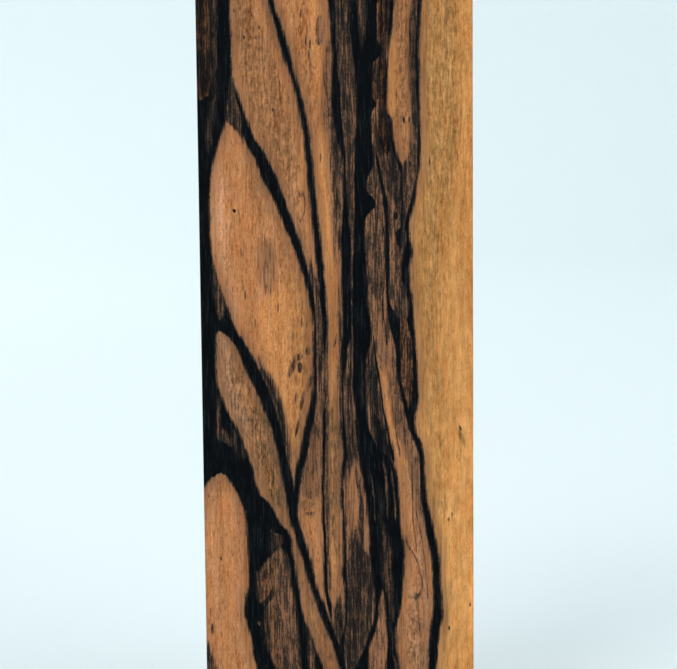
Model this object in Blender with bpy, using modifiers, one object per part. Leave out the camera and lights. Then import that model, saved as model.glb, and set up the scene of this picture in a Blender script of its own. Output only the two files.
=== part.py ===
"""A pale moon ebony blank: one solid block of figured ebony, sawn to length and sanded on four sides.

The block stands on its lower sawn end. +Z runs up the grain, the figured show face looks along -Y,
and the origin is the middle of the lower end. Sizes are in metres.
"""

import bmesh
import bpy

# Driving dimensions of the block
WIDTH = 0.038
THICKNESS = 0.025
LENGTH = 0.127

# Rounding of the edges: sanding eases the long ones, and the saw leaves the end ones crisper
LONG_ARRIS = 0.0005
END_ARRIS = 0.0003
ARRIS_SEGMENTS = 3

BLANK_NAME = "ebony_blank"
WOOD_COLOUR = (0.52, 0.27, 0.11, 1.0)
WOOD_ROUGHNESS = 0.5


def clear_scene():
    """Removes whatever the opened file holds."""
    for old in list(bpy.data.objects):
        bpy.data.objects.remove(old, do_unlink=True)


def make_wood():
    """The warm brown between the ink lines, as one plain finish for the solid."""
    wood = bpy.data.materials.new("sanded_ebony")
    wood.use_nodes = True
    shader = wood.node_tree.nodes["Principled BSDF"]
    shader.inputs["Base Color"].default_value = WOOD_COLOUR
    shader.inputs["Roughness"].default_value = WOOD_ROUGHNESS
    shader.inputs["Metallic"].default_value = 0.0
    return wood


def block_mesh():
    """A box of the full size whose lower end lies on the ground, with a weight on every edge for its
    arris: 1 along the grain, and the end arris's share of that round the two ends."""
    shape = bmesh.new()
    bmesh.ops.create_cube(shape, size=1.0)
    bmesh.ops.scale(shape, vec=(WIDTH, THICKNESS, LENGTH), verts=shape.verts)
    bmesh.ops.translate(shape, vec=(0.0, 0.0, LENGTH / 2), verts=shape.verts)
    weight = shape.edges.layers.float.new("bevel_weight_edge")
    for edge in shape.edges:
        low, high = sorted(corner.co.z for corner in edge.verts)
        runs_along_grain = high - low > LENGTH / 2
        edge[weight] = 1.0 if runs_along_grain else END_ARRIS / LONG_ARRIS
    mesh = bpy.data.meshes.new(BLANK_NAME)
    shape.to_mesh(mesh)
    shape.free()
    return mesh


def ease_arrises(blank):
    """Rounds every edge by its own weight, so that no knife edge is left on the block."""
    bevel = blank.modifiers.new("eased arrises", "BEVEL")
    bevel.width = LONG_ARRIS
    bevel.segments = ARRIS_SEGMENTS
    bevel.limit_method = "WEIGHT"
    bevel.offset_type = "OFFSET"


def make_blank(collection):
    """The block itself, the one piece that the object is made of."""
    blank = bpy.data.objects.new(BLANK_NAME, block_mesh())
    blank.data.materials.append(make_wood())
    collection.objects.link(blank)
    ease_arrises(blank)
    return blank


def main():
    """Builds the blank in a collection of its own."""
    clear_scene()
    collection = bpy.data.collections.new("pale_moon_ebony_blank")
    bpy.context.scene.collection.children.link(collection)
    make_blank(collection)


main()
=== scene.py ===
"""The looks of a pale moon ebony blank: a sawn and sanded block of pale wood drawn over with black ink.

The block is one piece of wood, so one mesh stands for the one solid. Its outline is made by Geometry Nodes
from the solid's own box. Its figure is a solid pattern that runs through the whole block: every ink line is
a band between two curves, which drift sideways with depth, so the sides, the back and the sawn ends carry
on what the show face begins. Scene sizes are metres. Inside the wood's own pattern they are millimetres:
across counts from the left edge of the show face, down from the level where the photograph begins, and
depth from the show face towards the back.
"""

import logging
import math
from collections.abc import Iterator
from dataclasses import dataclass
from enum import Enum
from typing import TypeVar

import bmesh
import bpy
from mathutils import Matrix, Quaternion, Vector


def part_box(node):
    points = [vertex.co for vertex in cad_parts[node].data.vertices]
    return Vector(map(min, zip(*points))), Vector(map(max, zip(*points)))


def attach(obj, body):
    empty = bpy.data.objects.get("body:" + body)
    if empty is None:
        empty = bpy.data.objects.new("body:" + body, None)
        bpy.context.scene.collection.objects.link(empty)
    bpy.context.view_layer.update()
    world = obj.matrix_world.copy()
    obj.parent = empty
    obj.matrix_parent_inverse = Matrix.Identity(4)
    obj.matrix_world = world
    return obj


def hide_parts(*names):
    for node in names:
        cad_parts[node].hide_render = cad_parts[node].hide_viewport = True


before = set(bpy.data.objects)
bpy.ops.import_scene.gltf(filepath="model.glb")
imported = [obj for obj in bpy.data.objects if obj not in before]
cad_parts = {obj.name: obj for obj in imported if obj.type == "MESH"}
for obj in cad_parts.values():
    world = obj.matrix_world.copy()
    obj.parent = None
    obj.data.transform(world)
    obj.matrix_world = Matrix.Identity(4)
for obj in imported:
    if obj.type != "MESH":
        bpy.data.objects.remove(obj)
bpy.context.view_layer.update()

LOG = logging.getLogger("ebony_blank")

# The solid that the block stands for, and its body
NODE = "ebony_blank"
BODY = "root"

# The height of the photograph's upper edge on the block in metres, and the millimetres in a metre
PICTURE_TOP = 0.110
MM = 1000.0

# The figure's levels at the two ends of the block
BLOCK_TOP = -17
BLOCK_FOOT = 111

# How far a spot goes into the wood, and how wide and how strong the haze beside the ink is
SPOT_DEPTH = 1.6
HALO_WIDTH = 1.7
HALO = 0.115

# The furthest that the fibres' noise moves an edge, for one unit of fraying
FRAY_REACH = 0.35

# Bands longer than this share their curves with long ones, so that the short ones' curves stay fine
LONG_BAND = 40

# How the edge of a band changes where the ink has soaked into the wood beside it
SOAKED_EDGE = {"grow": 0.18, "tail": 1.2}

Station = tuple[float, float, float]
Triple = tuple[float, float, float]
Colour = tuple[float, float, float, float]
Mark = TypeVar("Mark")


def shade(red: int, green: int, blue: int) -> Colour:
    """Turns a colour as a screen shows it into the linear one that a shader takes.

    Args:
        red: Red from 0 to 255.
        green: Green from 0 to 255.
        blue: Blue from 0 to 255.

    Returns:
        The linear colour, with full alpha.
    """

    def linear(value: int) -> float:
        """One channel."""
        share = value / 255
        return share / 12.92 if share <= 0.04045 else ((share + 0.055) / 1.055) ** 2.4

    return (linear(red), linear(green), linear(blue), 1.0)


def numbers(*names: str) -> dict[str, str]:
    """Sockets that hold one number each, by name."""
    return {name: "NodeSocketFloat" for name in names}


@dataclass(frozen=True)
class Signal:
    """A value in a node tree. Arithmetic on signals makes the nodes that work it out."""

    graph: "Graph"
    socket: bpy.types.NodeSocket

    def __add__(self, other: "Signal | float") -> "Signal":
        """The sum."""
        return self.graph.math("ADD", self, other)

    def __radd__(self, other: float) -> "Signal":
        """The sum, with the number in front."""
        return self.graph.math("ADD", other, self)

    def __sub__(self, other: "Signal | float") -> "Signal":
        """The difference."""
        return self.graph.math("SUBTRACT", self, other)

    def __rsub__(self, other: float) -> "Signal":
        """The difference, with the number in front."""
        return self.graph.math("SUBTRACT", other, self)

    def __mul__(self, other: "Signal | float") -> "Signal":
        """The product."""
        return self.graph.math("MULTIPLY", self, other)

    def __rmul__(self, other: float) -> "Signal":
        """The product, with the number in front."""
        return self.graph.math("MULTIPLY", other, self)

    def __truediv__(self, other: "Signal | float") -> "Signal":
        """The quotient."""
        return self.graph.math("DIVIDE", self, other)

    def at_least(self, other: "Signal | float") -> "Signal":
        """The larger of the two."""
        return self.graph.math("MAXIMUM", self, other)

    def at_most(self, other: "Signal | float") -> "Signal":
        """The smaller of the two."""
        return self.graph.math("MINIMUM", self, other)

    def ramp(self, low: float, high: float, bottom: float = 0.0, top: float = 1.0) -> "Signal":
        """Eases from one value to another as this signal goes from low to high.

        Args:
            low: Where the easing starts.
            high: Where it ends.
            bottom: The value at low and below it.
            top: The value at high and above it.

        Returns:
            The eased value.
        """
        node = self.graph.node("ShaderNodeMapRange", interpolation_type="SMOOTHSTEP")
        values = {"Value": self, "From Min": low, "From Max": high, "To Min": bottom, "To Max": top}
        for name, value in values.items():
            self.graph.feed(node.inputs[name], value)
        return self.graph.signal(node.outputs["Result"])


@dataclass(frozen=True)
class Grain:
    """Noise drawn out along the grain, with so many blotches to a millimetre across and along.

    Detail and roughness are the number and the strength of the finer layers over the coarse one, and shift
    moves the noise away from others like it.
    """

    fineness: float
    shortness: float
    detail: float = 1.0
    roughness: float = 0.5
    shift: float = 0.0


class Graph:
    """Writes nodes into one tree."""

    def __init__(self, tree: bpy.types.NodeTree) -> None:
        """Takes the tree.

        Args:
            tree: The shader, group or geometry tree to write into.
        """
        self.tree = tree

    def signal(self, socket: bpy.types.NodeSocket) -> Signal:
        """The signal that leaves by this socket."""
        return Signal(self, socket)

    def node(self, kind: str, **settings: object) -> bpy.types.Node:
        """Adds a node.

        Args:
            kind: Blender's name of the node type.
            **settings: Values for the node's own properties.

        Returns:
            The new node.
        """
        node = self.tree.nodes.new(kind)
        for name, value in settings.items():
            setattr(node, name, value)
        return node

    def feed(self, socket: bpy.types.NodeSocket, value: "Signal | float | Colour") -> None:
        """Links a signal to an input, or sets a plain value on it.

        Args:
            socket: The input.
            value: What it gets.
        """
        if isinstance(value, Signal):
            self.tree.links.new(value.socket, socket)
        else:
            socket.default_value = value

    def math(self, operation: str, *terms: "Signal | float") -> Signal:
        """One step of arithmetic.

        Args:
            operation: Blender's name of the operation.
            *terms: What it works on.

        Returns:
            The result.
        """
        node = self.node("ShaderNodeMath", operation=operation)
        for socket, term in zip(node.inputs, terms):
            self.feed(socket, term)
        return self.signal(node.outputs[0])

    def split(self, vector: Signal) -> tuple[Signal, Signal, Signal]:
        """Takes a vector apart.

        Args:
            vector: The vector.

        Returns:
            Its three parts.
        """
        node = self.node("ShaderNodeSeparateXYZ")
        self.feed(node.inputs[0], vector)
        return self.signal(node.outputs[0]), self.signal(node.outputs[1]), self.signal(node.outputs[2])

    def join(self, x: "Signal | float", y: "Signal | float", z: "Signal | float") -> Signal:
        """Puts a vector together.

        Args:
            x: Its first part.
            y: Its second part.
            z: Its third part.

        Returns:
            The vector.
        """
        node = self.node("ShaderNodeCombineXYZ")
        for socket, part in zip(node.inputs, (x, y, z)):
            self.feed(socket, part)
        return self.signal(node.outputs[0])

    def noise(self, vector: Signal, detail: float = 2.0, roughness: float = 0.5) -> Signal:
        """Soft noise about nought, mostly from -0.3 to 0.3, with one unit of the vector to a blotch.

        Args:
            vector: Where in the noise.
            detail: How many finer layers lie over the coarse one.
            roughness: How strong they are.

        Returns:
            The noise.
        """
        node = self.node("ShaderNodeTexNoise")
        self.feed(node.inputs["Vector"], vector)
        node.inputs["Scale"].default_value = 1.0
        node.inputs["Detail"].default_value = detail
        node.inputs["Roughness"].default_value = roughness
        return self.signal(node.outputs[0]) - 0.5

    def drawn_out(self, kind: Grain, across: Signal, down: Signal, depth: Signal) -> Signal:
        """Where in a long-grained noise a place in the wood lies.

        Args:
            kind: Which noise.
            across: Where across the figure.
            down: Where along it.
            depth: How far behind the show face.

        Returns:
            The vector for the noise.
        """
        shifted = across * kind.fineness + kind.shift
        return self.join(shifted, depth * kind.fineness, down * kind.shortness)

    def grain(self, kind: Grain, across: Signal, down: Signal, depth: Signal) -> Signal:
        """Long-grained noise at a place in the wood, given as for drawn_out."""
        return self.noise(self.drawn_out(kind, across, down, depth), kind.detail, kind.roughness)

    def cells(self, vector: Signal) -> Signal:
        """How far it is to the nearest of many scattered points, one to each unit of the vector.

        Args:
            vector: From where.

        Returns:
            The distance.
        """
        node = self.node("ShaderNodeTexVoronoi")
        self.feed(node.inputs["Vector"], vector)
        node.inputs["Scale"].default_value = 1.0
        return self.signal(node.outputs["Distance"])

    @staticmethod
    def draw(line: bpy.types.CurveMap, points: list[tuple[float, float]]) -> None:
        """Puts a smooth curve through points.

        Args:
            line: The curve.
            points: The points, in rising order.
        """
        line.points[0].location = points[0]
        line.points[1].location = points[-1]
        for x, y in points[1:-1]:
            line.points.new(x, y)
        for point in line.points:
            point.handle_type = "AUTO_CLAMPED"

    def curves(self, kind: str, value: Signal, *lines: list[tuple[float, float]]) -> Signal:
        """Smooth curves, level beyond their first and their last point.

        Args:
            kind: ShaderNodeFloatCurve, or ShaderNodeVectorCurve with a curve for each part of a vector.
            value: Where on the curves.
            *lines: The points of each curve.

        Returns:
            The curves' heights there.
        """
        node = self.node(kind)
        node.mapping.use_clip = False
        node.mapping.extend = "HORIZONTAL"
        for line, points in zip(node.mapping.curves, lines):
            self.draw(line, points)
        node.mapping.update()
        self.feed(node.inputs[1], value)
        return self.signal(node.outputs[0])

    def feed_named(
        self, node: bpy.types.Node, values: dict[str, "Signal | float | Triple | Colour"],
    ) -> None:
        """Feeds inputs that share their names with others, and so are found by identifier.

        Args:
            node: The node.
            values: What its inputs get, by identifier.
        """
        for socket in node.inputs:
            if socket.identifier in values:
                self.feed(socket, values[socket.identifier])

    def blend(self, share: "Signal | float", first: "Signal | Colour", second: "Signal | Colour") -> Signal:
        """Mixes two colours.

        Args:
            share: How much of the second.
            first: The colour at nought.
            second: The colour at one.

        Returns:
            The mixed colour.
        """
        node = self.node("ShaderNodeMix", data_type="RGBA")
        self.feed_named(node, {"Factor_Float": share, "A_Color": first, "B_Color": second})
        return self.signal(next(s for s in node.outputs if s.identifier == "Result_Color"))

    def vector(self, operation: str, *terms: "Signal | Triple") -> Signal:
        """One step of arithmetic on the three parts of a vector at once.

        Args:
            operation: Blender's name of the operation.
            *terms: What it works on.

        Returns:
            The resulting vector.
        """
        node = self.node("ShaderNodeVectorMath", operation=operation)
        for socket, term in zip(node.inputs, terms):
            self.feed(socket, term)
        return self.signal(node.outputs[0])

    def triple(self, value: Signal) -> Signal:
        """A vector with the same value in its three parts."""
        return self.join(value, value, value)

    def vector_ramp(self, value: Signal, low: Triple, high: Triple, top: Triple) -> Signal:
        """Eases each part of a vector from nought at low to top at high.

        Args:
            value: The vector.
            low: Where each part's easing starts.
            high: Where it ends.
            top: The value that it ends at.

        Returns:
            The eased vector.
        """
        node = self.node("ShaderNodeMapRange", data_type="FLOAT_VECTOR", interpolation_type="SMOOTHSTEP")
        self.feed_named(node, {
            "Vector": value, "From_Min_FLOAT3": low, "From_Max_FLOAT3": high,
            "To_Min_FLOAT3": (0.0, 0.0, 0.0), "To_Max_FLOAT3": top,
        })
        return self.signal(node.outputs["Vector"])

    def scale_colour(self, colour: Signal, factor: "Signal | float") -> Signal:
        """Makes a colour darker or brighter.

        Args:
            colour: The colour.
            factor: By how much.

        Returns:
            The changed colour.
        """
        node = self.node("ShaderNodeVectorMath", operation="SCALE")
        self.feed(node.inputs[0], colour)
        self.feed(node.inputs["Scale"], factor)
        return self.signal(node.outputs[0])


class Group:
    """A node group with named inputs and outputs, built once and placed where it is needed."""

    def __init__(self, name: str, kind: str, inputs: dict[str, str], outputs: dict[str, str]) -> None:
        """Makes the group's sockets.

        Args:
            name: The group's name.
            kind: ShaderNodeTree or GeometryNodeTree.
            inputs: The type of each input socket, by name.
            outputs: The type of each output socket, by name.
        """
        self.tree = bpy.data.node_groups.new(name, kind)
        for direction, sockets in (("INPUT", inputs), ("OUTPUT", outputs)):
            for socket_name, socket_kind in sockets.items():
                self.tree.interface.new_socket(socket_name, in_out=direction, socket_type=socket_kind)
        self.graph = Graph(self.tree)
        self.source = self.graph.node("NodeGroupInput")
        self.sink = self.graph.node("NodeGroupOutput")

    def given(self, name: str) -> Signal:
        """What comes in by this name."""
        return self.graph.signal(self.source.outputs[name])

    def give(self, name: str, value: "Signal | float") -> None:
        """Sends a value out by this name."""
        self.graph.feed(self.sink.inputs[name], value)

    def place(self, graph: Graph, **values: "Signal | float") -> bpy.types.Node:
        """Puts the group into another tree.

        Args:
            graph: The other tree.
            **values: Its inputs by name, with _ for a space.

        Returns:
            The node that stands for the group.
        """
        kind = "ShaderNodeGroup" if self.tree.bl_idname == "ShaderNodeTree" else "GeometryNodeGroup"
        node = graph.node(kind, node_tree=self.tree)
        for name, value in values.items():
            graph.feed(node.inputs[name.replace("_", " ")], value)
        return node


class Tone(Enum):
    """What a mark of the figure does to the wood inside it."""

    INK = "Ink"
    WINDOW = "Window"
    STAIN = "Stain"
    RUSSET = "Russet"
    SHADE = "Shade"
    ROSE = "Rose"
    AMBER = "Amber"
    FLECK = "Fleck"

    def band(self, *stations: Station, **edge: float) -> "Band":
        """A band of this tone.

        Args:
            *stations: Its stations.
            **edge: Values for the band's other fields.

        Returns:
            The band.
        """
        return Band(self, stations, **edge)

    def soaked(self, *stations: Station, **edge: float) -> "Band":
        """A band of this tone whose edge the soaking ink has spread.

        Args:
            *stations: Its stations.
            **edge: Values for the band's other fields.

        Returns:
            The band.
        """
        return self.band(*stations, **(SOAKED_EDGE | edge))


@dataclass(frozen=True)
class Band:
    """A strip of the figure between a left and a right edge, which both wander as it runs along the grain.

    Each station is a level, counted down from the picture's upper edge, with the two edges across the face.
    A strip that doesn't reach the block's end closes in a point beyond its last station, over its tail. Its
    edges fade by softness to either side of a line that lies outside the stations by growth.
    """

    tone: Tone
    stations: tuple[Station, ...]
    soft: float = 0.34
    fray: float = 0.2
    strength: float = 1.0
    grow: float = -0.04
    tail: float = 0.5

    def closed(self) -> tuple[Station, ...]:
        """Closes the ends of the strip that lie inside the block.

        Returns:
            The stations, with one more past each such end. The edges have crossed there by as much as the
            softness and the fraying of the edge can reach.
        """
        near = self.soft + self.grow + FRAY_REACH * self.fray
        reach = near + (HALO_WIDTH if self.tone is Tone.INK else 0.0)
        run = (self.tail + near) * reach / near

        def crossed(station: Station, level: float) -> Station:
            """The two edges at this level, passed through each other."""
            middle = (station[1] + station[2]) / 2
            return (level, middle + reach, middle - reach)

        first, last = self.stations[0], self.stations[-1]
        before = (crossed(first, first[0] - run),) if first[0] > BLOCK_TOP else ()
        after = (crossed(last, last[0] + run),) if last[0] < BLOCK_FOOT else ()
        return (*before, *self.stations, *after)


@dataclass(frozen=True)
class Spot:
    """A small rounded mark of the figure, long along the grain."""

    tone: Tone
    across: float
    down: float
    half_width: float
    half_length: float
    soft: float = 0.35
    strength: float = 1.0
    lean: float = 0.0


# Masses of ink at the left edge, and the cap that they close over the pale tongue
LEFT_INK = (
    Tone.INK.band(
        (-17, 1.3, 4.3), (0, 1.85, 4.75), (8, 1.85, 4.95), (11.5, 1.75, 4.7), (13, 1.2, 4.5),
        (14, -1, 4.35), (16, -3, 4.05), (18, -3, 3.45), (20, -3, 2.75), (22, -3, 2.15), (25, -3, 1.8),
        (29, -3, 1.55), (33, -3, 1.6), (36, -3, 2), (38, -3, 2.45), (40, -3, 3.05), (42, -3, 3.7),
        (43.6, -3, 4.25), (44.5, -3, 3.6), (45.4, -3, 2.5), (47, -3, 2.15), (50, -3, 2.15), (53, -3, 2.25),
        (55, -3, 2.8), (57, -3, 3.4), (60, -3, 3.6), (64, -3, 3.2), (65.5, -3, 2.7), (65.9, -3, 1.6),
        (66.3, -3, 1.1), (66.9, -3, 0.65), (67.6, -3, 0.2), (68.6, -3, -0.6),
    ),
    Tone.INK.band(
        (53.6, 2.3, 2.5), (55, 1.6, 2.9), (57, 1.6, 3.7), (59, 1.6, 4.75), (61, 1.6, 5.65), (63, 1.6, 6.4),
        (65.2, 1.8, 7.1), (65.7, 2.6, 7.25), (66.1, 3.3, 7.35), (67, 3.85, 7.5), (68.1, 4.45, 7.8),
        (69.1, 5, 8.25), (69.6, 5.2, 9), (70.5, 5.5, 9.65), (72, 5.8, 10.4), (73.2, 5.95, 11.1),
        (73.9, 6, 11.8), (75, 6.05, 12.2), (78, 6.15, 12.6), (80.5, 6.15, 13.05), (82, 6.05, 13.3),
        (84, 5.6, 13.6), (85.6, 5.45, 13.85), (87.2, 5.85, 14.3), (89, 6.2, 14.95), (92, 6.6, 16),
        (94, 7.1, 16.7), (111, 9.6, 21),
    ),
)

# The two diagonals that cross the pale wood from the left edge
DIAGONALS = (
    Tone.INK.band(
        (10.3, 4.8, 4.9), (11.5, 4.9, 5.3), (13.6, 5.2, 6), (16, 5.9, 6.85), (17.5, 5.9, 7.4),
        (18.8, 6.3, 8.05), (20.4, 7.15, 9.05), (22.2, 8, 9.95), (24, 8.75, 10.8), (27, 10.2, 11.9),
        (30, 11.4, 12.95), (33, 12.6, 13.95), (36, 13.75, 14.85), (39, 14.65, 15.65), (41.5, 15.2, 16.1),
        (45, 15.6, 16.2), (52, 15.6, 16.3), (54.5, 15.4, 16.2), (57, 14.85, 15.9), (60, 14.15, 15.3),
        (63, 13.5, 14.7), (66, 12.9, 14), (69, 12.4, 13.5), (71.5, 12.3, 13.2), (73, 12.5, 13.1),
    ),
    Tone.INK.band(
        (40.6, 2.95, 3.15), (41.6, 2.95, 3.5), (43, 2.6, 3.95), (44, 1.9, 4.4), (45.2, 2.2, 4.95),
        (45.8, 3.2, 5.3), (46.6, 4, 5.8), (48.2, 5.1, 6.75), (50.5, 5.9, 8), (53.6, 7.4, 9.4),
        (56, 8.3, 10.2), (58.2, 9.2, 10.8), (61, 10, 11.5), (64, 10.7, 12.15), (68, 11.3, 12.9),
        (72, 12, 13.25), (75, 12.85, 14.1), (78, 13.7, 14.95), (82, 14.8, 15.85), (85, 15.75, 16.95),
        (88, 16.95, 18.2), (91, 18, 19.2), (94, 18.9, 20), (111, 22, 23.5),
    ),
    Tone.STAIN.band(
        (50.2, 8, 8.3), (51.8, 8.3, 9.6), (53.5, 9.2, 10.25), (55.5, 10, 10.95), (58, 10.6, 11.45),
        (61, 11.1, 11.85), (63.6, 11.7, 12.2), soft=0.6, fray=0.7, strength=0.85, tail=2,
    ),
)

# The long thin line, its sharp core further down, and the line to the left of the trunk
LONG_LINES = (
    Tone.INK.band(
        (57, 17, 17.3), (64, 16.8, 17.1), (70, 16.65, 16.95), (76, 16.9, 17.2), (82, 16.95, 17.3),
        (86, 17.55, 17.9), soft=0.14, grow=0.05,
    ),
    Tone.INK.band(
        (-17, 5.2, 6.4), (-8, 7.7, 8.8), (0, 9.9, 10.75), (3, 10.7, 11.7), (6, 11.5, 12.6),
        (10, 12.75, 13.6), (13.5, 13.7, 14.55), (16, 14.2, 15.1), (20, 14.7, 15.65), (26, 15.2, 16.15),
        (32, 15.75, 16.8), (38, 16.3, 17.4), (41, 16.5, 17.6), (44.5, 16.75, 17.75), (47.5, 16.85, 17.6),
        (49.5, 17, 17.45), (57, 16.95, 17.4), (64, 16.7, 17.2), (70, 16.55, 17.05), (76, 16.8, 17.3),
        (81.5, 16.8, 17.35), (84, 17.15, 17.7), (86.5, 17.6, 18.05), (88.5, 18.1, 18.3),
    ),
    Tone.INK.band(
        (-17, 16.7, 17.9), (0, 18.15, 19.3), (4, 18.4, 19.4), (8, 18.55, 19.5), (12, 18.4, 19.95),
        (16, 18.6, 20.1), (20, 19.3, 20.4), (22, 19.85, 20.5), (26, 19.95, 20.65), (30, 19.6, 20.95),
        (34, 19.5, 21.2), (46, 19.7, 21.2), (48, 19.4, 20.6), (50, 19.5, 20.4), (52, 19.4, 20.1),
        (56, 19.35, 20), (60, 19.4, 20.2), (63, 19.65, 20.4), (65, 19.4, 20.1), (68, 19.25, 19.75),
        (72, 19.4, 19.95), (78, 19.5, 20.1), (80, 19.4, 20.2), (83, 19.7, 20.35), (86, 19.65, 20.3),
        (88, 19.5, 20.05), (90, 18.95, 19.8), (94, 19.1, 19.9), (111, 17.4, 18.2),
    ),
)

# The trunk of ink right of the middle, which spreads into roots below
TRUNK = (
    Tone.INK.band(
        (-17, 20.6, 27), (0, 21.05, 25.2), (1.5, 21, 24.95), (4, 20.95, 25.05), (5.8, 21.1, 25.2),
        (6.8, 21.2, 25.75), (7.6, 21.3, 25.5), (8.3, 21.4, 24.7), (10, 21.7, 24.3), (13.4, 21.85, 24.4),
        (14.2, 21.8, 24.9), (15, 21.75, 24.4), (16.5, 21.7, 24.15), (19, 21.6, 24.2), (21.5, 21.55, 24.5),
        (22.6, 21.5, 24.35), (23.6, 21.45, 23.9), (25, 21.4, 23.45), (26.3, 21.4, 23.5), (27, 21.35, 24.2),
        (28, 21.35, 24.65), (28.7, 21.35, 24.45), (29.3, 21.3, 23.65), (32, 21.3, 23.15), (35, 21.15, 23.2),
        (39, 21, 23.4), (42, 21, 23.45), (44.5, 21, 23.8), (47, 21, 23.9), (49, 21, 23.3), (53, 21, 23.15),
        (57, 21.25, 23.3), (60, 21.4, 23.75), (62, 21.5, 24.7), (63.6, 21.8, 26.3), (65, 22.05, 27),
        (66, 22.2, 27.2), (68, 22.55, 27.5), (71, 22.9, 27.7), (73, 23.15, 27.8), (76, 23.2, 28.15),
        (79, 23.3, 28.25), (82, 23.7, 28), (84, 23.85, 27.75), (86, 23.75, 27.5), (87.5, 23.5, 27.15),
        (89, 22.9, 26.95), (91, 22.3, 27.05), (93, 21.4, 27.4), (95, 20.7, 27.5), (111, 17.5, 28),
    ),
    Tone.WINDOW.band(
        (-12, 23.3, 23.9), (0, 22.1, 23.15), (3, 22.4, 23.2), (5, 22.6, 23.05), (6, 22.7, 22.9),
        soft=0.4, strength=0.62, tail=1.5,
    ),
    Tone.WINDOW.band(
        (48.8, 22.25, 22.35), (51, 22.2, 22.5), (54, 22.2, 22.65), (56.5, 22.3, 22.45),
        soft=0.3, strength=0.22,
    ),
    Tone.WINDOW.band(
        (63.5, 25.2, 25.35), (66, 25.45, 25.8), (69, 25.6, 25.95), (72, 25.75, 25.95),
        soft=0.15, strength=0.45,
    ),
    Tone.WINDOW.band(
        (64.5, 26.3, 26.4), (67.5, 26.5, 26.8), (70.5, 26.8, 27.1), (73, 27.05, 27.2),
        soft=0.12, strength=0.5,
    ),
    Tone.WINDOW.band(
        (67.5, 24.6, 24.7), (70, 24.6, 25), (72.5, 24.75, 25.05), (75, 24.9, 26), (78, 24.95, 26.4),
        (80.5, 25, 26.4), (82.5, 25.5, 26.6), (84.5, 26, 26.8), (87, 26.25, 26.6), soft=0.5, strength=0.33,
    ),
    Tone.WINDOW.band(
        (65.5, 23.45, 23.55), (67.5, 23.6, 23.9), (70, 23.9, 24.05), (72.5, 24.1, 24.2),
        soft=0.15, strength=0.38,
    ),
    Tone.WINDOW.band(
        (82.9, 25, 25.15), (84, 24.75, 25.4), (86, 24.6, 25.5), (88, 24.15, 25.6), (89.3, 23.85, 25.65),
        (90.4, 23.35, 25.65), (92, 23.1, 25.6), (94, 23.1, 25.5), (111, 21.5, 24.5),
    ),
    Tone.WINDOW.band(
        (87.6, 26.25, 26.35), (89.5, 26.2, 26.5), (91, 26.3, 26.5), (93.5, 26.6, 27.1), (97, 26.8, 27.2),
        (101, 27, 27.1), soft=0.2, strength=0.25,
    ),
    Tone.STAIN.band(
        (46.4, 23.9, 24.1), (49, 24.05, 24.4), (51.5, 24.4, 24.85), (54, 24.8, 25.2), (57, 25.2, 25.65),
        (60, 25.75, 26.2), (62.5, 26.2, 26.7), (64, 26.5, 27), soft=0.16,
    ),
    Tone.STAIN.band(
        (47.5, 23.4, 24.1), (50, 23, 24.4), (54, 23, 25.2), (58, 23.2, 25.7), (61, 23.6, 26.3),
        (64, 24.6, 26.9), soft=0.5, fray=1.2, strength=0.78, tail=3,
    ),
    Tone.STAIN.band(
        (56, 23.2, 24), (58.5, 23.4, 25.2), (61, 23.7, 26.2), (64, 24.8, 26.8),
        soft=0.6, fray=1.5, strength=0.9, tail=3,
    ),
    Tone.STAIN.band(
        (44, 26, 26.6), (46.5, 26.2, 27), (49, 26.5, 27.2), soft=0.4, fray=1.5, strength=0.42, tail=3,
    ),
)

# The thin lines between the trunk and the right-hand line
INNER_LINES = (
    Tone.INK.band(
        (-17, 28.6, 29.6), (0, 26.5, 27.35), (4, 26.25, 27), (6.5, 26.1, 26.5), (10, 26, 26.3),
        (14, 25.8, 26.05), (15.6, 25.95, 26.2), (16, 26.05, 26.85), (18, 26.2, 26.9), (20, 26.6, 27.3),
        (22, 27.2, 27.85), (22.8, 27.5, 28.3), (23.5, 27.75, 28.35), (26, 27.9, 28.4), (29, 27.9, 28.5),
        (30.5, 27.8, 28.6),
    ),
    Tone.INK.band(
        (21.5, 24.55, 24.85), (24, 24.85, 25.4), (26, 25.2, 25.85), (28, 25.5, 26.2), (31, 25.7, 26.3),
        (35, 25.75, 26.35), (38, 25.8, 26.3), (40, 25.85, 26.2), (42, 26, 26.5), (43.2, 26.1, 27.2),
        (44.2, 26.2, 27.9), (45.5, 26.4, 27.95), (47.5, 26.95, 27.85), (50, 27.15, 27.85),
        (52, 27.4, 27.95), (54, 27.75, 28.3), (56, 28.1, 28.75), (58, 28.5, 29.2), soft=0.24, grow=0.03,
    ),
    Tone.STAIN.band((28, 25.15, 25.25), (30, 25.3, 25.5), (33, 25.6, 25.8), soft=0.12, strength=0.9),
    Tone.STAIN.band(
        (40.2, 25.25, 25.35), (43, 25.3, 25.6), (45.5, 25.6, 25.85), (48, 25.9, 26.1),
        soft=0.14, strength=0.8,
    ),
    Tone.STAIN.band(
        (8.2, 24.85, 24.95), (11, 24.9, 25.1), (15, 24.95, 25.1), (19, 24.85, 25.1), (21.5, 25.2, 25.4),
        soft=0.14, strength=0.95,
    ),
)

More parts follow.
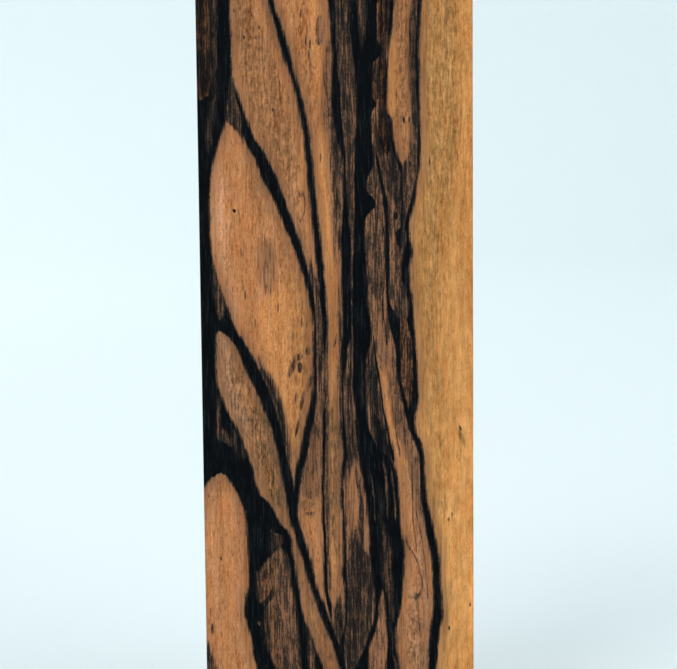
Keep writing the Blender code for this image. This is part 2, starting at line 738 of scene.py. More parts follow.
# The right-hand ink line, past which the wood is honey coloured
RIGHT_LINE = (
    Tone.INK.band(
        (-17, 31.3, 32.2), (0, 30.3, 31.05), (3, 30.1, 30.8), (6, 29.95, 30.65), (12, 30, 30.75),
        (18, 30.3, 30.85), (21, 30.25, 30.75), (24, 29.95, 30.5), (26, 29.55, 30.2), (28, 29, 29.8),
        (29.6, 28.6, 29.45), (31.5, 28.2, 29.2), (33, 28.15, 29.25), (34, 28.15, 29.5), (34.8, 28.15, 29.6),
        (36, 27.85, 29.3), (37.5, 27.8, 29.25), (39.5, 28, 29.35), (41.5, 28.1, 29.5), (43, 28.25, 29.6),
        (44.6, 28.6, 29.75), (46, 29.05, 29.9), (48, 29.3, 30.05), (51, 29.35, 30.25), (54, 29.3, 30.4),
        (55, 29.15, 30.4), (56.3, 28.8, 30.2), (58.3, 28.65, 29.9), (59.5, 28.85, 29.9), (61, 29.4, 30.5),
        (62.5, 29.95, 30.95), (65, 30.3, 31.2), (69, 30.5, 31.45), (71, 30.75, 31.75), (74, 31.2, 32.45),
        (77, 31.75, 33), (80, 32.15, 33.25), (84, 32.2, 33.5), (86, 32, 33.65), (87.5, 31.8, 33.4),
        (91, 31.5, 32.95), (94, 31.4, 32.6), (111, 30.8, 32),
    ),
    Tone.WINDOW.band((39.3, 28.45, 28.55), (41, 28.35, 28.8), (43.5, 28.3, 28.9), soft=0.25, strength=0.3),
    Tone.WINDOW.band((31.6, 28.5, 28.6), (32.8, 28.5, 28.75), (34, 28.4, 28.6), soft=0.15, strength=0.3),
)

# Lines that never reach the show face: the drift of the figure brings them out on the sides and the back
HIDDEN_LINES = (
    Tone.INK.band(
        (-17, -9.5, -7), (10, -7.5, -6.2), (35, -8.6, -5.8), (60, -6.5, -5.4), (85, -8, -5.5),
        (111, -9.5, -7.2),
    ),
    Tone.INK.band(
        (-17, 42.6, 43.4), (15, 41.5, 42.3), (40, 42.4, 43.7), (70, 43.5, 44.3), (111, 41.8, 43.4),
    ),
    Tone.INK.band((-17, 46, 49), (30, 47.5, 50.5), (70, 46, 47.5), (111, 47, 52)),
)

# Brown lobes that shine through the ink below the tongue, with the dark veins that part them
LOBES = (
    Tone.WINDOW.band(
        (76.4, 10.4, 10.7), (77.5, 9.4, 11.5), (78.6, 8.5, 11.75), (80, 7.5, 12), (81.5, 7.3, 12.15),
        (83, 7.35, 12.5), (84.2, 7.7, 12.65), (84.8, 8.5, 12.7), (86, 8.4, 12.75), (88, 8.3, 12.95),
        (90, 8.5, 13.2), (91.8, 9, 13.3), (94, 10, 13.4), (111, 12.6, 15.5),
        soft=0.55, fray=0.5, strength=0.62,
    ),
    Tone.WINDOW.band(
        (73.8, 9.3, 9.4), (75, 9.4, 11.3), (75.8, 9.4, 11.2), (76.6, 9.3, 9.8), (77.3, 9.4, 9.5),
        soft=0.3, fray=1.5, strength=0.25,
    ),
    Tone.WINDOW.band(
        (87.6, 14.35, 14.45), (89, 14.35, 14.75), (91, 14.4, 15.2), (94, 14.4, 15.6), (111, 17, 18.4),
        soft=0.35, fray=0.5, strength=0.5,
    ),
    Tone.STAIN.band(
        (79, 9.5, 9.6), (81, 9.7, 10), (83, 9.75, 10.1), (85, 10.15, 10.5), (87, 10.55, 10.95),
        (89.5, 10.95, 11.3), (92, 11.45, 11.8), (94, 11.75, 12.05), (111, 14, 14.4),
        soft=0.32, strength=0.85,
    ),
    Tone.STAIN.band(
        (82.2, 9.3, 9.9), (83, 8.9, 9.9), (83.8, 8.3, 9.5), (84.5, 7.4, 9), (85.2, 7.3, 8.4),
        soft=0.35, strength=0.85,
    ),
    Tone.RUSSET.band(
        (77.6, 9.3, 9.7), (79, 8.6, 10), (81, 7.6, 9.6), (83.5, 7.6, 8.9), soft=0.5, strength=0.45,
    ),
    Tone.RUSSET.band(
        (85, 8.9, 9.7), (87, 8.5, 10), (90, 8.7, 10.4), (93, 9.6, 11), (97, 10.6, 11.4),
        soft=0.5, strength=0.5,
    ),
)

# Wood that the ink has half soaked
SOAKED = (
    Tone.RUSSET.soaked(
        (-17, -3, 1.6), (0, -3, 1.95), (11, -3, 1.85), (12.5, -3, 1.7), (13.6, -3, 1.4), (14.6, -3, -1),
        soft=0.3, fray=0.6, strength=0.72,
    ),
    Tone.STAIN.soaked(
        (10.6, 4.5, 4.9), (13, 4.3, 5.4), (15, 4.1, 6), (16.2, 4.1, 6.2), (17.2, 5.1, 6.3),
        (18.6, 6.1, 6.5), soft=0.3, fray=0.4, strength=0.68,
    ),
    Tone.WINDOW.band(
        (36, 1.75, 1.9), (38, 1.85, 2.35), (40, 2, 2.95), (42, 2.2, 3.4), (43.4, 2.5, 3.1),
        soft=0.45, strength=0.38,
    ),
    Tone.WINDOW.band(
        (54.5, 1.9, 2.1), (57, 1.95, 2.5), (59, 1.9, 2.6), (59.9, 1.8, 3.6), (60.7, 2.2, 4),
        (61.3, 3.2, 4.2), soft=0.5, fray=0.8, strength=0.33,
    ),
    Tone.WINDOW.band(
        (59, 4, 4.2), (60.5, 4.2, 5.2), (62, 4.3, 5.9), (63.3, 5, 6), soft=0.5, fray=1, strength=0.16,
    ),
    Tone.WINDOW.band(
        (-17, 1.9, 2.8), (0, 2.1, 3), (6, 2.2, 2.95), (11, 2.3, 3), (18, 1.2, 2), (20, 1.5, 1.7),
        soft=0.5, fray=1, strength=0.24,
    ),
    Tone.STAIN.soaked(
        (-17, 17.6, 21.8), (0, 19.1, 22.4), (4, 19.2, 22.4), (8, 19.3, 22), (12, 19.7, 22.2),
        (16, 19.9, 22.2), (20, 20.2, 22), (24, 20.4, 21.9), (28, 20.6, 21.8), (32, 20.9, 21.7),
        (35, 21.1, 21.5), soft=0.3, fray=0.5, strength=0.56,
    ),
    Tone.STAIN.soaked(
        (-17, 17.6, 19.6), (0, 19, 20.2), (5, 19.1, 20.1), (10, 19.4, 20.3), (14, 19.8, 20.4),
        soft=0.4, fray=1.5, strength=0.74, tail=2,
    ),
    Tone.STAIN.soaked(
        (-17, 20.3, 21.2), (0, 20.9, 22), (4, 20.9, 22.3), (7, 20.9, 21.6), (10, 21.1, 21.8),
        (13, 21.6, 21.9), soft=0.4, fray=0.8, strength=0.8,
    ),
    Tone.STAIN.band(
        (12.5, 18.5, 18.7), (15, 18.2, 18.9), (18, 18.3, 19.3), (21, 18.4, 19.9), (25, 18.5, 20),
        (28, 18.75, 19.95), (31, 19, 19.8), (36, 19.5, 19.9), (42, 19.6, 19.95), (46, 19.3, 19.8),
        (50, 19.2, 19.7), (56, 19.2, 19.6), (60, 19.3, 19.7),
        soft=0.35, fray=0.8, strength=0.6, grow=0.1, tail=1.2,
    ),
    Tone.RUSSET.soaked(
        (-17, 26.8, 28.6), (0, 25.1, 26.6), (4, 25, 26.4), (6.4, 25.3, 26.2), soft=0.2, strength=0.74,
    ),
    Tone.RUSSET.soaked(
        (5.5, 25.7, 26.2), (9, 25.1, 26.15), (14, 25.1, 26.1), (18, 25.1, 26.4), (20, 25.3, 26.6),
        soft=0.3, fray=0.8, strength=0.8,
    ),
    Tone.STAIN.soaked(
        (15, 25.3, 26), (18, 25.1, 26.5), (21, 25.3, 27.1), (24, 25.5, 27.95), (26, 25.8, 28.1),
        (26.6, 26.6, 28.1), (29, 27.6, 28.1), soft=0.35, fray=0.8, strength=0.7,
    ),
    Tone.RUSSET.soaked(
        (8, 24.6, 24.85), (10, 24, 24.85), (12.5, 24, 24.8), (13.6, 24.2, 24.7), soft=0.2, strength=0.68,
    ),
    Tone.RUSSET.soaked(
        (14.6, 24.3, 24.7), (16, 23.8, 24.9), (18, 23.9, 24.85), (20, 24, 25.05), (22, 24.4, 25.4),
        (24, 25, 25.8), soft=0.2, strength=0.42,
    ),
    Tone.STAIN.soaked(
        (22.6, 23.9, 24.5), (25, 23, 25.2), (26.4, 23, 25.5), (27.4, 23.8, 25.7), (28.4, 23.9, 25.85),
        (29.3, 23, 26), (32, 22.6, 26.1), (35, 22.8, 26.1), (38, 23.2, 26), (40, 23.8, 25.6),
        soft=0.4, fray=0.8, strength=0.53, tail=2,
    ),
    Tone.STAIN.band(
        (36, 22.8, 26.1), (40, 23, 26.1), (44, 23.4, 26), (47, 24, 25.6), (49, 24.6, 25.2),
        soft=0.5, fray=1.2, strength=0.29, grow=0.1, tail=2.5,
    ),
    Tone.STAIN.soaked(
        (41, 23.1, 26), (44, 23.4, 26.4), (47, 23.6, 27.2), (50, 24.2, 27.5), (52, 25.9, 27.7),
        (55, 26.4, 28.2), (59, 27.1, 29), (63, 28.6, 30.3), (67, 29.6, 30.7), (71, 30.2, 31),
        soft=0.5, fray=1, strength=0.26,
    ),
    Tone.STAIN.soaked(
        (24.5, 26, 28.1), (28, 26, 28.4), (33, 26, 28.5), (37, 26, 28.2), (42, 26, 28.4),
        (44.5, 26.3, 28.5), soft=0.3, fray=0.6, strength=0.44,
    ),
    Tone.STAIN.band(
        (29.6, 27.7, 28.6), (31, 27.8, 28.5), (32, 27.1, 28.4), (33.4, 27.2, 28.4), (34.2, 27.8, 28.3),
        soft=0.35, strength=0.95,
    ),
    Tone.STAIN.soaked(
        (22.3, 28.6, 30), (24, 28.3, 30), (26, 28.3, 29.7), (27.6, 28.1, 29.4), (30, 28.1, 28.9),
        soft=0.25, fray=0.4, strength=0.6,
    ),
    Tone.STAIN.soaked(
        (-17, 30.4, 31.4), (0, 29.8, 30.4), (4, 29.45, 30.1), (14, 29.6, 30.1), (19, 29.45, 30.4),
        (22.5, 29.1, 30.2), (25, 29.6, 30.1), soft=0.3, fray=0.4, strength=0.64,
    ),
    Tone.STAIN.band(
        (38, 27.9, 28.3), (41, 27, 28.7), (44, 26.6, 29.1), (46, 27.6, 28.7),
        soft=0.4, fray=1.5, strength=0.72, tail=2,
    ),
    Tone.RUSSET.soaked(
        (44.4, 28.1, 28.7), (46.5, 27.8, 29.2), (49, 27.8, 29.6), (52, 28, 29.6), (54.5, 28.5, 29.5),
        (56.5, 28.9, 29.2), soft=0.35, fray=0.8, strength=0.58,
    ),
    Tone.STAIN.band(
        (37, 15.4, 15.8), (39, 15.7, 16.3), (41, 16, 16.6), (44, 16, 17), (49, 16, 17.1),
        (51.5, 16.1, 16.7), (53.5, 16.2, 16.4), soft=0.4, fray=0.8, strength=0.68, grow=0.1, tail=2,
    ),
    Tone.STAIN.band(
        (47, 16.1, 17.1), (52, 16.2, 17.1), (55, 16, 17.1), (58, 15.6, 17.1), (61, 15.2, 17),
        (65, 14.3, 16.9), (68, 13.7, 16.6), soft=0.5, fray=1.5, strength=0.22, grow=0.1, tail=1.2,
    ),
    Tone.STAIN.soaked(
        (47, 17.4, 17.7), (51, 17.3, 17.5), (56, 17.3, 17.5), (64, 17.1, 17.35), (76, 17.2, 17.45),
        (82, 17.4, 17.6), soft=0.25, strength=0.5,
    ),
    Tone.STAIN.band(
        (47, 20.6, 20.95), (50, 20.4, 21), (53, 20.1, 21), (57, 20, 21.3), (60, 20.2, 21.45),
        (62.5, 20.2, 21.6), (64.5, 20.3, 21.2), soft=0.4, fray=1.5, strength=0.7, grow=0.1, tail=3,
    ),
    Tone.STAIN.soaked(
        (60, 20.2, 21.6), (63, 19.9, 22), (66, 19.7, 22.3), (70, 19.7, 22.8), (74, 19.9, 23.2),
        (76, 19.9, 23.2), soft=0.4, fray=1, strength=0.17,
    ),
    Tone.STAIN.band(
        (65.5, 21.4, 21.6), (68.5, 21.7, 22.05), (72, 21.95, 22.5), (76, 22, 22.6),
        soft=0.35, fray=1, strength=0.66, grow=0.1, tail=2,
    ),
    Tone.STAIN.soaked(
        (75, 20.8, 21.6), (77.5, 20.2, 23), (80, 20.1, 23.5), (84, 20.2, 23.9), (87, 20, 23.6),
        (90, 19.6, 22.8), (92, 19.4, 22), (94, 19.8, 21.4), (111, 18, 18.4),
        soft=0.5, fray=1.5, strength=0.67, tail=5,
    ),
    Tone.STAIN.soaked(
        (84, 19, 19.3), (86.5, 18.1, 19.6), (88.5, 18.2, 19.6), (90.5, 18.9, 19.4),
        soft=0.5, fray=1, strength=0.74,
    ),
    Tone.STAIN.band(
        (83, 24.7, 25.5), (88, 24, 25.9), (94, 22.9, 25.8), (111, 21.3, 24.8),
        soft=0.3, fray=0.4, strength=0.22,
    ),
    Tone.STAIN.band(
        (84.5, 8, 10.2), (88, 8.2, 10.9), (94, 9.6, 12.1), (111, 12, 14.4),
        soft=0.4, fray=0.6, strength=0.55,
    ),
    Tone.STAIN.band(
        (86, 11.6, 12.8), (90, 11.6, 13.4), (94, 12.2, 13.6), (111, 14.8, 15.8),
        soft=0.5, fray=0.8, strength=0.5, tail=2,
    ),
    Tone.STAIN.band(
        (43, 26.3, 26.9), (47, 26.5, 27.1), (51, 26.6, 27.4), (55, 27.2, 27.9), (59, 27.8, 28.5),
        (63, 28.6, 29), soft=0.35, fray=2.4, strength=0.46, tail=2,
    ),
    Tone.STAIN.band((24, 25.7, 25.9), (27, 26.3, 26.5), (29, 26.3, 26.4), soft=0.2, fray=0.2, strength=0.7),
    Tone.STAIN.band(
        (29.5, 24.3, 24.4), (34, 24.2, 24.4), (39, 24.5, 24.7), (44, 24.8, 24.9),
        soft=0.2, fray=0.3, strength=0.66,
    ),
    Tone.STAIN.band(
        (89.8, -2, 0.1), (91, -2, 0.7), (92.5, -2, 1.1), (94, -2, 1.5), (98, -2, 1.5), (104, -2, 0.6),
        (108, -2, -0.2), soft=0.5, fray=2, strength=0.72,
    ),
)

# Browner, darker stretches of the pale wood
SHADOWS = (
    Tone.SHADE.band(
        (-5, 8.9, 9.5), (0, 9.1, 10.2), (3, 9.9, 11), (6, 10.6, 11.7), soft=0.5, fray=1.5, strength=0.4,
    ),
    Tone.SHADE.band(
        (1, 11, 11.9), (5, 12, 12.7), (10, 13.2, 13.9), (14, 14, 14.6), soft=0.5, fray=1.5, strength=0.22,
    ),
    Tone.SHADE.band(
        (-17, 2.6, 6.4), (-8, 4.9, 8), (2, 5, 8.4), (6, 5.2, 10), (10, 5.8, 11), (14, 7, 12.4),
        (19, 8.6, 13.6), (24, 10.6, 13.6), (28, 12.2, 13.9), (33, 13.8, 14.8), (38, 15, 15.6),
        soft=0.9, fray=3, strength=0.34,
    ),
    Tone.STAIN.band(
        (6, 17.7, 18.7), (10, 17.3, 18.7), (15, 17, 18.6), (20, 17.5, 18.6), (28, 18, 18.9),
        (36, 18.8, 19.2), soft=0.6, fray=1.5, strength=0.2,
    ),
    Tone.SHADE.band(
        (20, 6.2, 8), (26, 6.8, 10.2), (30, 8, 12.2), (34, 9, 13.4), (38, 11.4, 14.8), (44, 12.4, 15.5),
        (52, 12.4, 15.7), (58, 12, 15), (66, 12.2, 13.2), soft=1.2, fray=2, strength=0.25,
    ),
    Tone.STAIN.band(
        (33.2, 8.6, 9.6), (35, 8.2, 10.3), (37, 8.2, 10.4), (39.4, 8.8, 10.2),
        soft=0.9, fray=2.5, strength=0.23,
    ),
    Tone.SHADE.band(
        (46, 2, 3.8), (52, 2.4, 6.6), (58, 4.4, 9.4), (63, 6.6, 11), (68, 8, 11.8), (72, 10.4, 12.4),
        (79, 12.6, 14.2), (86, 14.2, 16.6), (94, 16.2, 18.6), soft=0.5, fray=2, strength=0.4,
    ),
    Tone.SHADE.band(
        (57, 5.6, 8.6), (62, 7.2, 10.8), (66, 8.2, 11.8), (70, 9.8, 12.2),
        soft=0.5, fray=2.5, strength=0.56,
    ),
    Tone.SHADE.band(
        (54, 18.6, 19), (61, 17.3, 19.7), (67, 17.1, 19.3), (73, 17.5, 19.2), (78, 18.6, 19.2),
        soft=0.5, fray=2.5, strength=0.52, tail=4,
    ),
    Tone.SHADE.band(
        (64, 13.6, 16), (67, 13.2, 16.8), (70, 13, 16.4), (72.5, 13.4, 15.4),
        soft=0.7, fray=2, strength=0.12,
    ),
    Tone.SHADE.band(
        (56, 18.2, 19.4), (60, 17.4, 19.8), (67, 17, 19.6), (76, 18.6, 19.6), (80, 18.4, 19.8),
        (88, 18, 19.8), soft=0.6, fray=2, strength=0.3,
    ),
    Tone.SHADE.band(
        (56, 26.6, 28.4), (64, 27.8, 29.8), (72, 29.2, 31), (80, 29.8, 31.8), (88, 27.6, 31.6),
        (94, 27.6, 31.4), (111, 28.6, 30.6), soft=0.7, fray=2.5, strength=0.18,
    ),
    Tone.SHADE.band(
        (64.5, -1, 4.4), (67, -1, 3.6), (69.5, -1, 1.6), soft=1.3, fray=2, strength=0.24, tail=4,
    ),
    Tone.SHADE.band(
        (-17, 28.4, 30.8), (0, 27.6, 29.8), (8, 27.7, 29.8), (16, 27.5, 29.8), (21, 27.8, 29.6),
        soft=0.4, fray=2.5, strength=0.24,
    ),
    Tone.SHADE.band(
        (-17, 32, 36), (0, 31.6, 36), (8, 31.4, 36.2), (18, 31.6, 36), (26, 31, 34.6), (36, 29.8, 33.4),
        (46, 30.4, 33), (60, 31.2, 33.2), (72, 32.4, 33.8), (84, 33.4, 34.6), (111, 32.2, 33.6),
        soft=1, fray=4, strength=0.26,
    ),
    Tone.SHADE.band(
        (59.5, 32.4, 32.9), (62, 32.2, 34), (65, 32, 34), (67, 32.6, 33.2), soft=0.6, fray=4, strength=0.22,
    ),
)

# Thin brown veins on the pale wood
VEINS = (
    Tone.STAIN.band((58.5, 26.9, 27), (61, 27.15, 27.35), (63.5, 27.6, 27.75), soft=0.12, strength=0.5),
    Tone.STAIN.band((57.5, 28.1, 28.2), (60, 28.3, 28.5), (62.5, 28.35, 28.5), soft=0.15, strength=0.5),
    Tone.STAIN.band(
        (66, 29.2, 29.3), (70, 29.35, 29.5), (72, 29.35, 29.5), (74, 29.6, 29.72), (77, 29.8, 29.92),
        soft=0.12, strength=0.55,
    ),
    Tone.STAIN.band(
        (71.3, 29.85, 29.95), (74, 30.35, 30.5), (77, 30.85, 31), (80, 31.15, 31.3), (84, 31.5, 31.62),
        soft=0.12, strength=0.55,
    ),
    Tone.STAIN.band(
        (75, 28.35, 28.45), (76.7, 28.8, 29), (77.3, 29.3, 29.5), (78.5, 29.9, 30.05), (80, 30.3, 30.45),
        (82, 30.6, 30.8), (83, 30.3, 30.6), (83.7, 29.7, 30.2), soft=0.22, strength=0.5,
    ),
    Tone.STAIN.band((83.9, 29.9, 30.05), (86, 30.1, 30.25), (89.5, 30.35, 30.5), soft=0.14, strength=0.5),
    Tone.STAIN.band(
        (26.4, 14.5, 14.6), (27.6, 14.65, 14.8), (28.8, 14.6, 14.75), (29.6, 14.35, 14.5), (30.2, 14, 14.2),
        soft=0.12, strength=0.5,
    ),
    Tone.STAIN.band((29.2, 4.9, 4.95), (31, 4.95, 5.02), soft=0.12, strength=0.35),
)

# Cleaner, brighter wood, orange or pink
BRIGHT = (
    Tone.AMBER.band(
        (-17, 36.9, 40), (0, 37.1, 40), (50, 37.3, 40), (111, 37.2, 40), soft=0.35, strength=0.8,
    ),
    Tone.AMBER.band(
        (-3, 15.6, 16.6), (3, 15.9, 16.4), (8, 16.1, 17.2), (12, 16.3, 17), (16, 16.8, 17.2),
        (22, 16.4, 17.6), (30, 16.9, 18.4), (42, 17.8, 19), (56, 17.9, 18.8), (66, 17.3, 18.2),
        (80, 17.5, 18.6), soft=0.4, fray=2, strength=0.5,
    ),
    Tone.AMBER.band(
        (5, 26.8, 27.3), (8, 26.5, 27.4), (12, 26.3, 27.5), (15.4, 26.3, 27.4), (17, 27, 27.3),
        soft=0.35, fray=1.5, strength=0.95,
    ),
    Tone.AMBER.band(
        (50.5, 24.9, 25.6), (53, 25.1, 25.9), (57, 25.6, 26.5), (61, 26.2, 27.1), (64, 27, 28.2),
        (70, 27.8, 29), (78, 28.4, 29.8), (84, 28, 29.2), soft=0.3, fray=2.5, strength=0.24,
    ),
    Tone.AMBER.band(
        (38, 12.2, 14.2), (44, 8, 15.3), (50, 9, 15.3), (56, 11.2, 14.6), (62, 12.4, 13.6),
        soft=1, fray=2, strength=0.4,
    ),
    Tone.AMBER.band(
        (-17, 35, 40), (0, 35.4, 40), (10, 35.6, 40), (20, 36, 40), (44, 37, 40),
        soft=0.9, fray=2, strength=0.5,
    ),
    Tone.ROSE.band(
        (22, 2.2, 3.2), (28, 1.9, 4), (32, 2, 4.3), (36, 2.5, 4.6), (40, 3.5, 5), (43, 4.3, 5.2),
        soft=1, fray=1, strength=0.62,
    ),
    Tone.ROSE.band(
        (67, 1.1, 1.6), (75, 1.3, 1.8), (85, 1.4, 1.9), (94, 1.6, 2.3), (111, 2, 3),
        soft=0.35, fray=1, strength=0.5,
    ),
    Tone.ROSE.band(
        (69, 4.2, 4.7), (78, 4.6, 5.2), (86, 4.5, 4.9), (94, 5.2, 5.8), (111, 7, 8),
        soft=0.35, fray=1, strength=0.5,
    ),
    Tone.ROSE.band(
        (85, 24.7, 25.2), (89, 24.3, 25.4), (94, 23.4, 25.3), (111, 22, 24), soft=0.4, fray=1, strength=0.3,
    ),
    Tone.ROSE.band(
        (4, 31.2, 31.6), (10, 31.2, 31.7), (17, 31.3, 31.7), (24, 31, 31.4),
        soft=0.4, fray=1, strength=0.28,
    ),
    Tone.ROSE.band(
        (46, 2.3, 3.4), (52, 2.6, 4.8), (57, 4.2, 6), (61, 5.8, 6.8), soft=0.6, fray=1.5, strength=0.6,
    ),
    Tone.ROSE.band(
        (60, 29, 30.2), (72, 29, 31), (86, 28.6, 31.4), (94, 28.2, 31.2), (111, 29, 30.6),
        soft=0.8, fray=3, strength=0.5,
    ),
    Tone.AMBER.band((17, 13.6, 14.3), (21, 14.1, 14.7), (25, 14.5, 15), soft=0.3, fray=2, strength=0.5),
)

# Zones in which short dark flecks crowd
FLECKED = (
    Tone.FLECK.band(
        (-17, 7, 16), (0, 11.4, 15.6), (6, 13, 16), (14, 14.9, 16.4), (20, 15.8, 16.2), soft=0.8,
    ),
    Tone.FLECK.band(
        (8, 9, 12.4), (14, 9.5, 13.6), (22, 11.2, 14.4), (30, 13.2, 15.4), (34, 14.4, 15.4),
        soft=0.8, strength=0.7,
    ),
    Tone.FLECK.band((-10, 27.4, 29.4), (0, 27.4, 29.4), (10, 27.5, 29.4), (20, 27.8, 28.8), soft=0.5),
    Tone.FLECK.band(
        (-17, 3, 6), (0, 5, 8.2), (5, 5.6, 9.2), (9, 6, 9.4), (14, 7.6, 10.2), soft=0.8, strength=0.8,
    ),
    Tone.FLECK.band(
        (-17, 31.6, 36.4), (0, 31.6, 36.6), (14, 31.4, 36.2), (30, 31, 34.6), (44, 30.6, 33),
        soft=1.2, strength=0.3,
    ),
    Tone.FLECK.band((50, 3, 6), (58, 5.2, 8.4), (66, 8, 10.6), soft=0.8, strength=0.7),
    Tone.FLECK.band((60, 15.2, 16.6), (66, 14, 16.6), (74, 14, 16.4), (82, 15.6, 16.6), soft=0.6),
    Tone.FLECK.band(
        (62, 28.2, 29.8), (74, 29.2, 31), (84, 28.4, 31.6), (94, 28, 31.4), (111, 29, 30.6),
        soft=0.8, strength=0.8,
    ),
    Tone.FLECK.band(
        (12, 18, 19.2), (20, 18.2, 19.9), (30, 18.6, 20), (44, 19, 19.6), (60, 19, 20.6), (76, 20, 22.8),
        (90, 19.8, 22.6), soft=0.5, strength=0.8,
    ),
)

# Where the tiniest dark dots lie, and the short dashes along the grain
DOTS = (
    (5.35, 1.3), (8.7, 3.7), (7.2, 4.5), (6.6, 5.0), (8.3, 5.0), (7.3, 6.1), (10.5, 14.9), (0.7, 68.8),
    (2.3, 77.8), (4.0, 77.3), (35.0, 71.8), (34.5, 72.5),
    (34.5, 88.2), (37.5, 84.9), (19.35, 43.3), (17.75, 50.6), (12.8, 62.9), (12.2, 51.6), (28.4, 29.5),
)
DASHES = (
    (14.4, 1.9), (15.3, 4.0), (15.1, 5.5), (15.7, 6.0), (15.5, 7.5), (15.7, 8.7), (15.9, 10.2), (16.0, 11.7),
    (16.2, 14.0), (15.6, 15.0), (11.8, 12.0), (11.4, 11.5), (16.95, 21.5), (5.8, 34.5), (6.3, 40.5),
    (10.8, 42.3), (7.6, 44.5), (14.0, 44.3), (14.7, 44.5), (15.2, 53.0), (14.7, 53.6), (14.2, 55.0),
    (13.9, 56.0), (13.1, 55.0), (13.3, 49.5), (27.9, 3.5), (27.9, 7.2), (27.9, 9.4), (27.5, 13.0),
    (27.5, 15.3), (0.7, 85.7), (36.6, 27.8), (32.0, 22.2), (24.7, 38.8),
)

# Small marks: knots' eyes, pin holes, ink blots and flecks, and one painted glint on the ink
MARKS = (
    *(Spot(Tone.RUSSET, across, down, 0.12, 0.24, soft=0.6, strength=0.4) for across, down in DOTS),
    *(Spot(Tone.RUSSET, across, down, 0.1, 0.55, soft=0.6, strength=0.32) for across, down in DASHES),
    Spot(Tone.STAIN, 17.05, 4.15, 0.6, 1.9, soft=0.2, strength=0.3),
    Spot(Tone.STAIN, 16.95, 5.6, 0.42, 0.42, soft=0.5, strength=0.42),
    Spot(Tone.RUSSET, 4.95, 28.75, 0.2, 0.22, strength=0.75),
    Spot(Tone.RUSSET, 14.2, 26.5, 0.35, 0.4, soft=0.6, strength=0.22),
    Spot(Tone.STAIN, 27.3, 29.6, 0.32, 0.65, strength=0.97),
    Spot(Tone.STAIN, 29.3, 22.4, 0.2, 0.4, strength=0.9),
    Spot(Tone.RUSSET, 28.45, 16.4, 0.15, 0.42, soft=0.5, strength=0.7),
    Spot(Tone.RUSSET, 29.2, 16.4, 0.12, 0.4, soft=0.5, strength=0.66),
    Spot(Tone.RUSSET, 18.9, 46.6, 0.16, 1.1, soft=0.6, strength=0.4, lean=-0.3),
    Spot(Tone.RUSSET, 14.95, 48.4, 0.42, 0.55, soft=0.6, strength=0.4),
    Spot(Tone.RUSSET, 12.75, 50.6, 0.36, 1.15, soft=0.6, strength=0.4, lean=-0.35),
    Spot(Tone.RUSSET, 13.75, 50.7, 0.28, 0.6, soft=0.6, strength=0.38),
    Spot(Tone.RUSSET, 13.5, 49.3, 0.55, 0.4, soft=0.6, strength=0.3, lean=-0.5),
    Spot(Tone.RUSSET, 12.9, 46.2, 0.14, 0.45, soft=0.6, strength=0.34),
    Spot(Tone.RUSSET, 14.1, 55.4, 0.22, 1.2, soft=0.55, strength=0.36, lean=-0.18),
    Spot(Tone.RUSSET, 15.1, 52.9, 0.3, 1.0, soft=0.6, strength=0.36, lean=-0.2),
    Spot(Tone.RUSSET, 13.2, 55.0, 0.14, 0.7, soft=0.6, strength=0.3),
    Spot(Tone.RUSSET, 13.3, 59.2, 0.2, 1.15, soft=0.4, strength=0.6, lean=-0.2),
    Spot(Tone.RUSSET, 15.0, 71.5, 0.8, 0.24, soft=0.6, strength=0.24),
    Spot(Tone.SHADE, 14.4, 70.3, 1.0, 0.7, soft=0.6, strength=0.4),
    Spot(Tone.STAIN, 15.4, 66.0, 0.9, 2.4, soft=0.7, strength=0.2),
    Spot(Tone.RUSSET, 36.2, 59.5, 0.15, 0.34, soft=0.5, strength=0.6, lean=0.3),
    Spot(Tone.SHADE, 36.3, 60.8, 0.3, 1.1, soft=0.6, strength=0.45, lean=0.3),
    Spot(Tone.RUSSET, 37.5, 84.9, 0.14, 0.2, strength=0.5),
    Spot(Tone.STAIN, 0.85, 88.0, 0.18, 0.65, soft=0.5, strength=0.6),
    Spot(Tone.STAIN, 12.6, 68.2, 0.4, 0.8, soft=0.5, strength=0.6),
    Spot(Tone.SHADE, 29.6, 65.5, 0.7, 1.8, soft=0.6, strength=0.4),
    Spot(Tone.SHADE, 29.7, 83.6, 0.9, 0.45, soft=0.6, strength=0.6),
    # A painted glint: a small pale window in the ink
    Spot(Tone.WINDOW, 7.5, 87.3, 0.16, 0.3, strength=0.6),
    Spot(Tone.WINDOW, 9.55, 75.8, 0.2, 1.0, strength=0.3),
    Spot(Tone.SHADE, 33.4, 6.0, 0.3, 2.2, soft=0.7, strength=0.26),
    Spot(Tone.SHADE, 34.8, 7.0, 0.8, 2.2, soft=0.7, strength=0.24),
    Spot(Tone.SHADE, 35.2, 14.0, 0.6, 2.4, soft=0.7, strength=0.22),
    Spot(Tone.SHADE, 31.7, 10.8, 0.3, 0.9, soft=0.7, strength=0.22),
    Spot(Tone.SHADE, 33.9, 25.0, 0.35, 1.6, soft=0.7, strength=0.2),
    Spot(Tone.SHADE, 33.0, 29.5, 0.35, 1.4, soft=0.7, strength=0.2),
    Spot(Tone.SHADE, 33.1, 61.2, 0.2, 1.3, soft=0.5, strength=0.3, lean=0.26),
    Spot(Tone.SHADE, 33.5, 70.5, 0.2, 1.8, soft=0.6, strength=0.3, lean=0.33),
    Spot(Tone.SHADE, 30.0, 90.0, 1.5, 4.6, soft=0.7, strength=0.32),
)

FIGURE = (
    *LEFT_INK, *DIAGONALS, *LONG_LINES, *TRUNK, *INNER_LINES, *RIGHT_LINE, *HIDDEN_LINES, *LOBES, *SOAKED,
    *SHADOWS, *VEINS, *BRIGHT, *FLECKED,
)


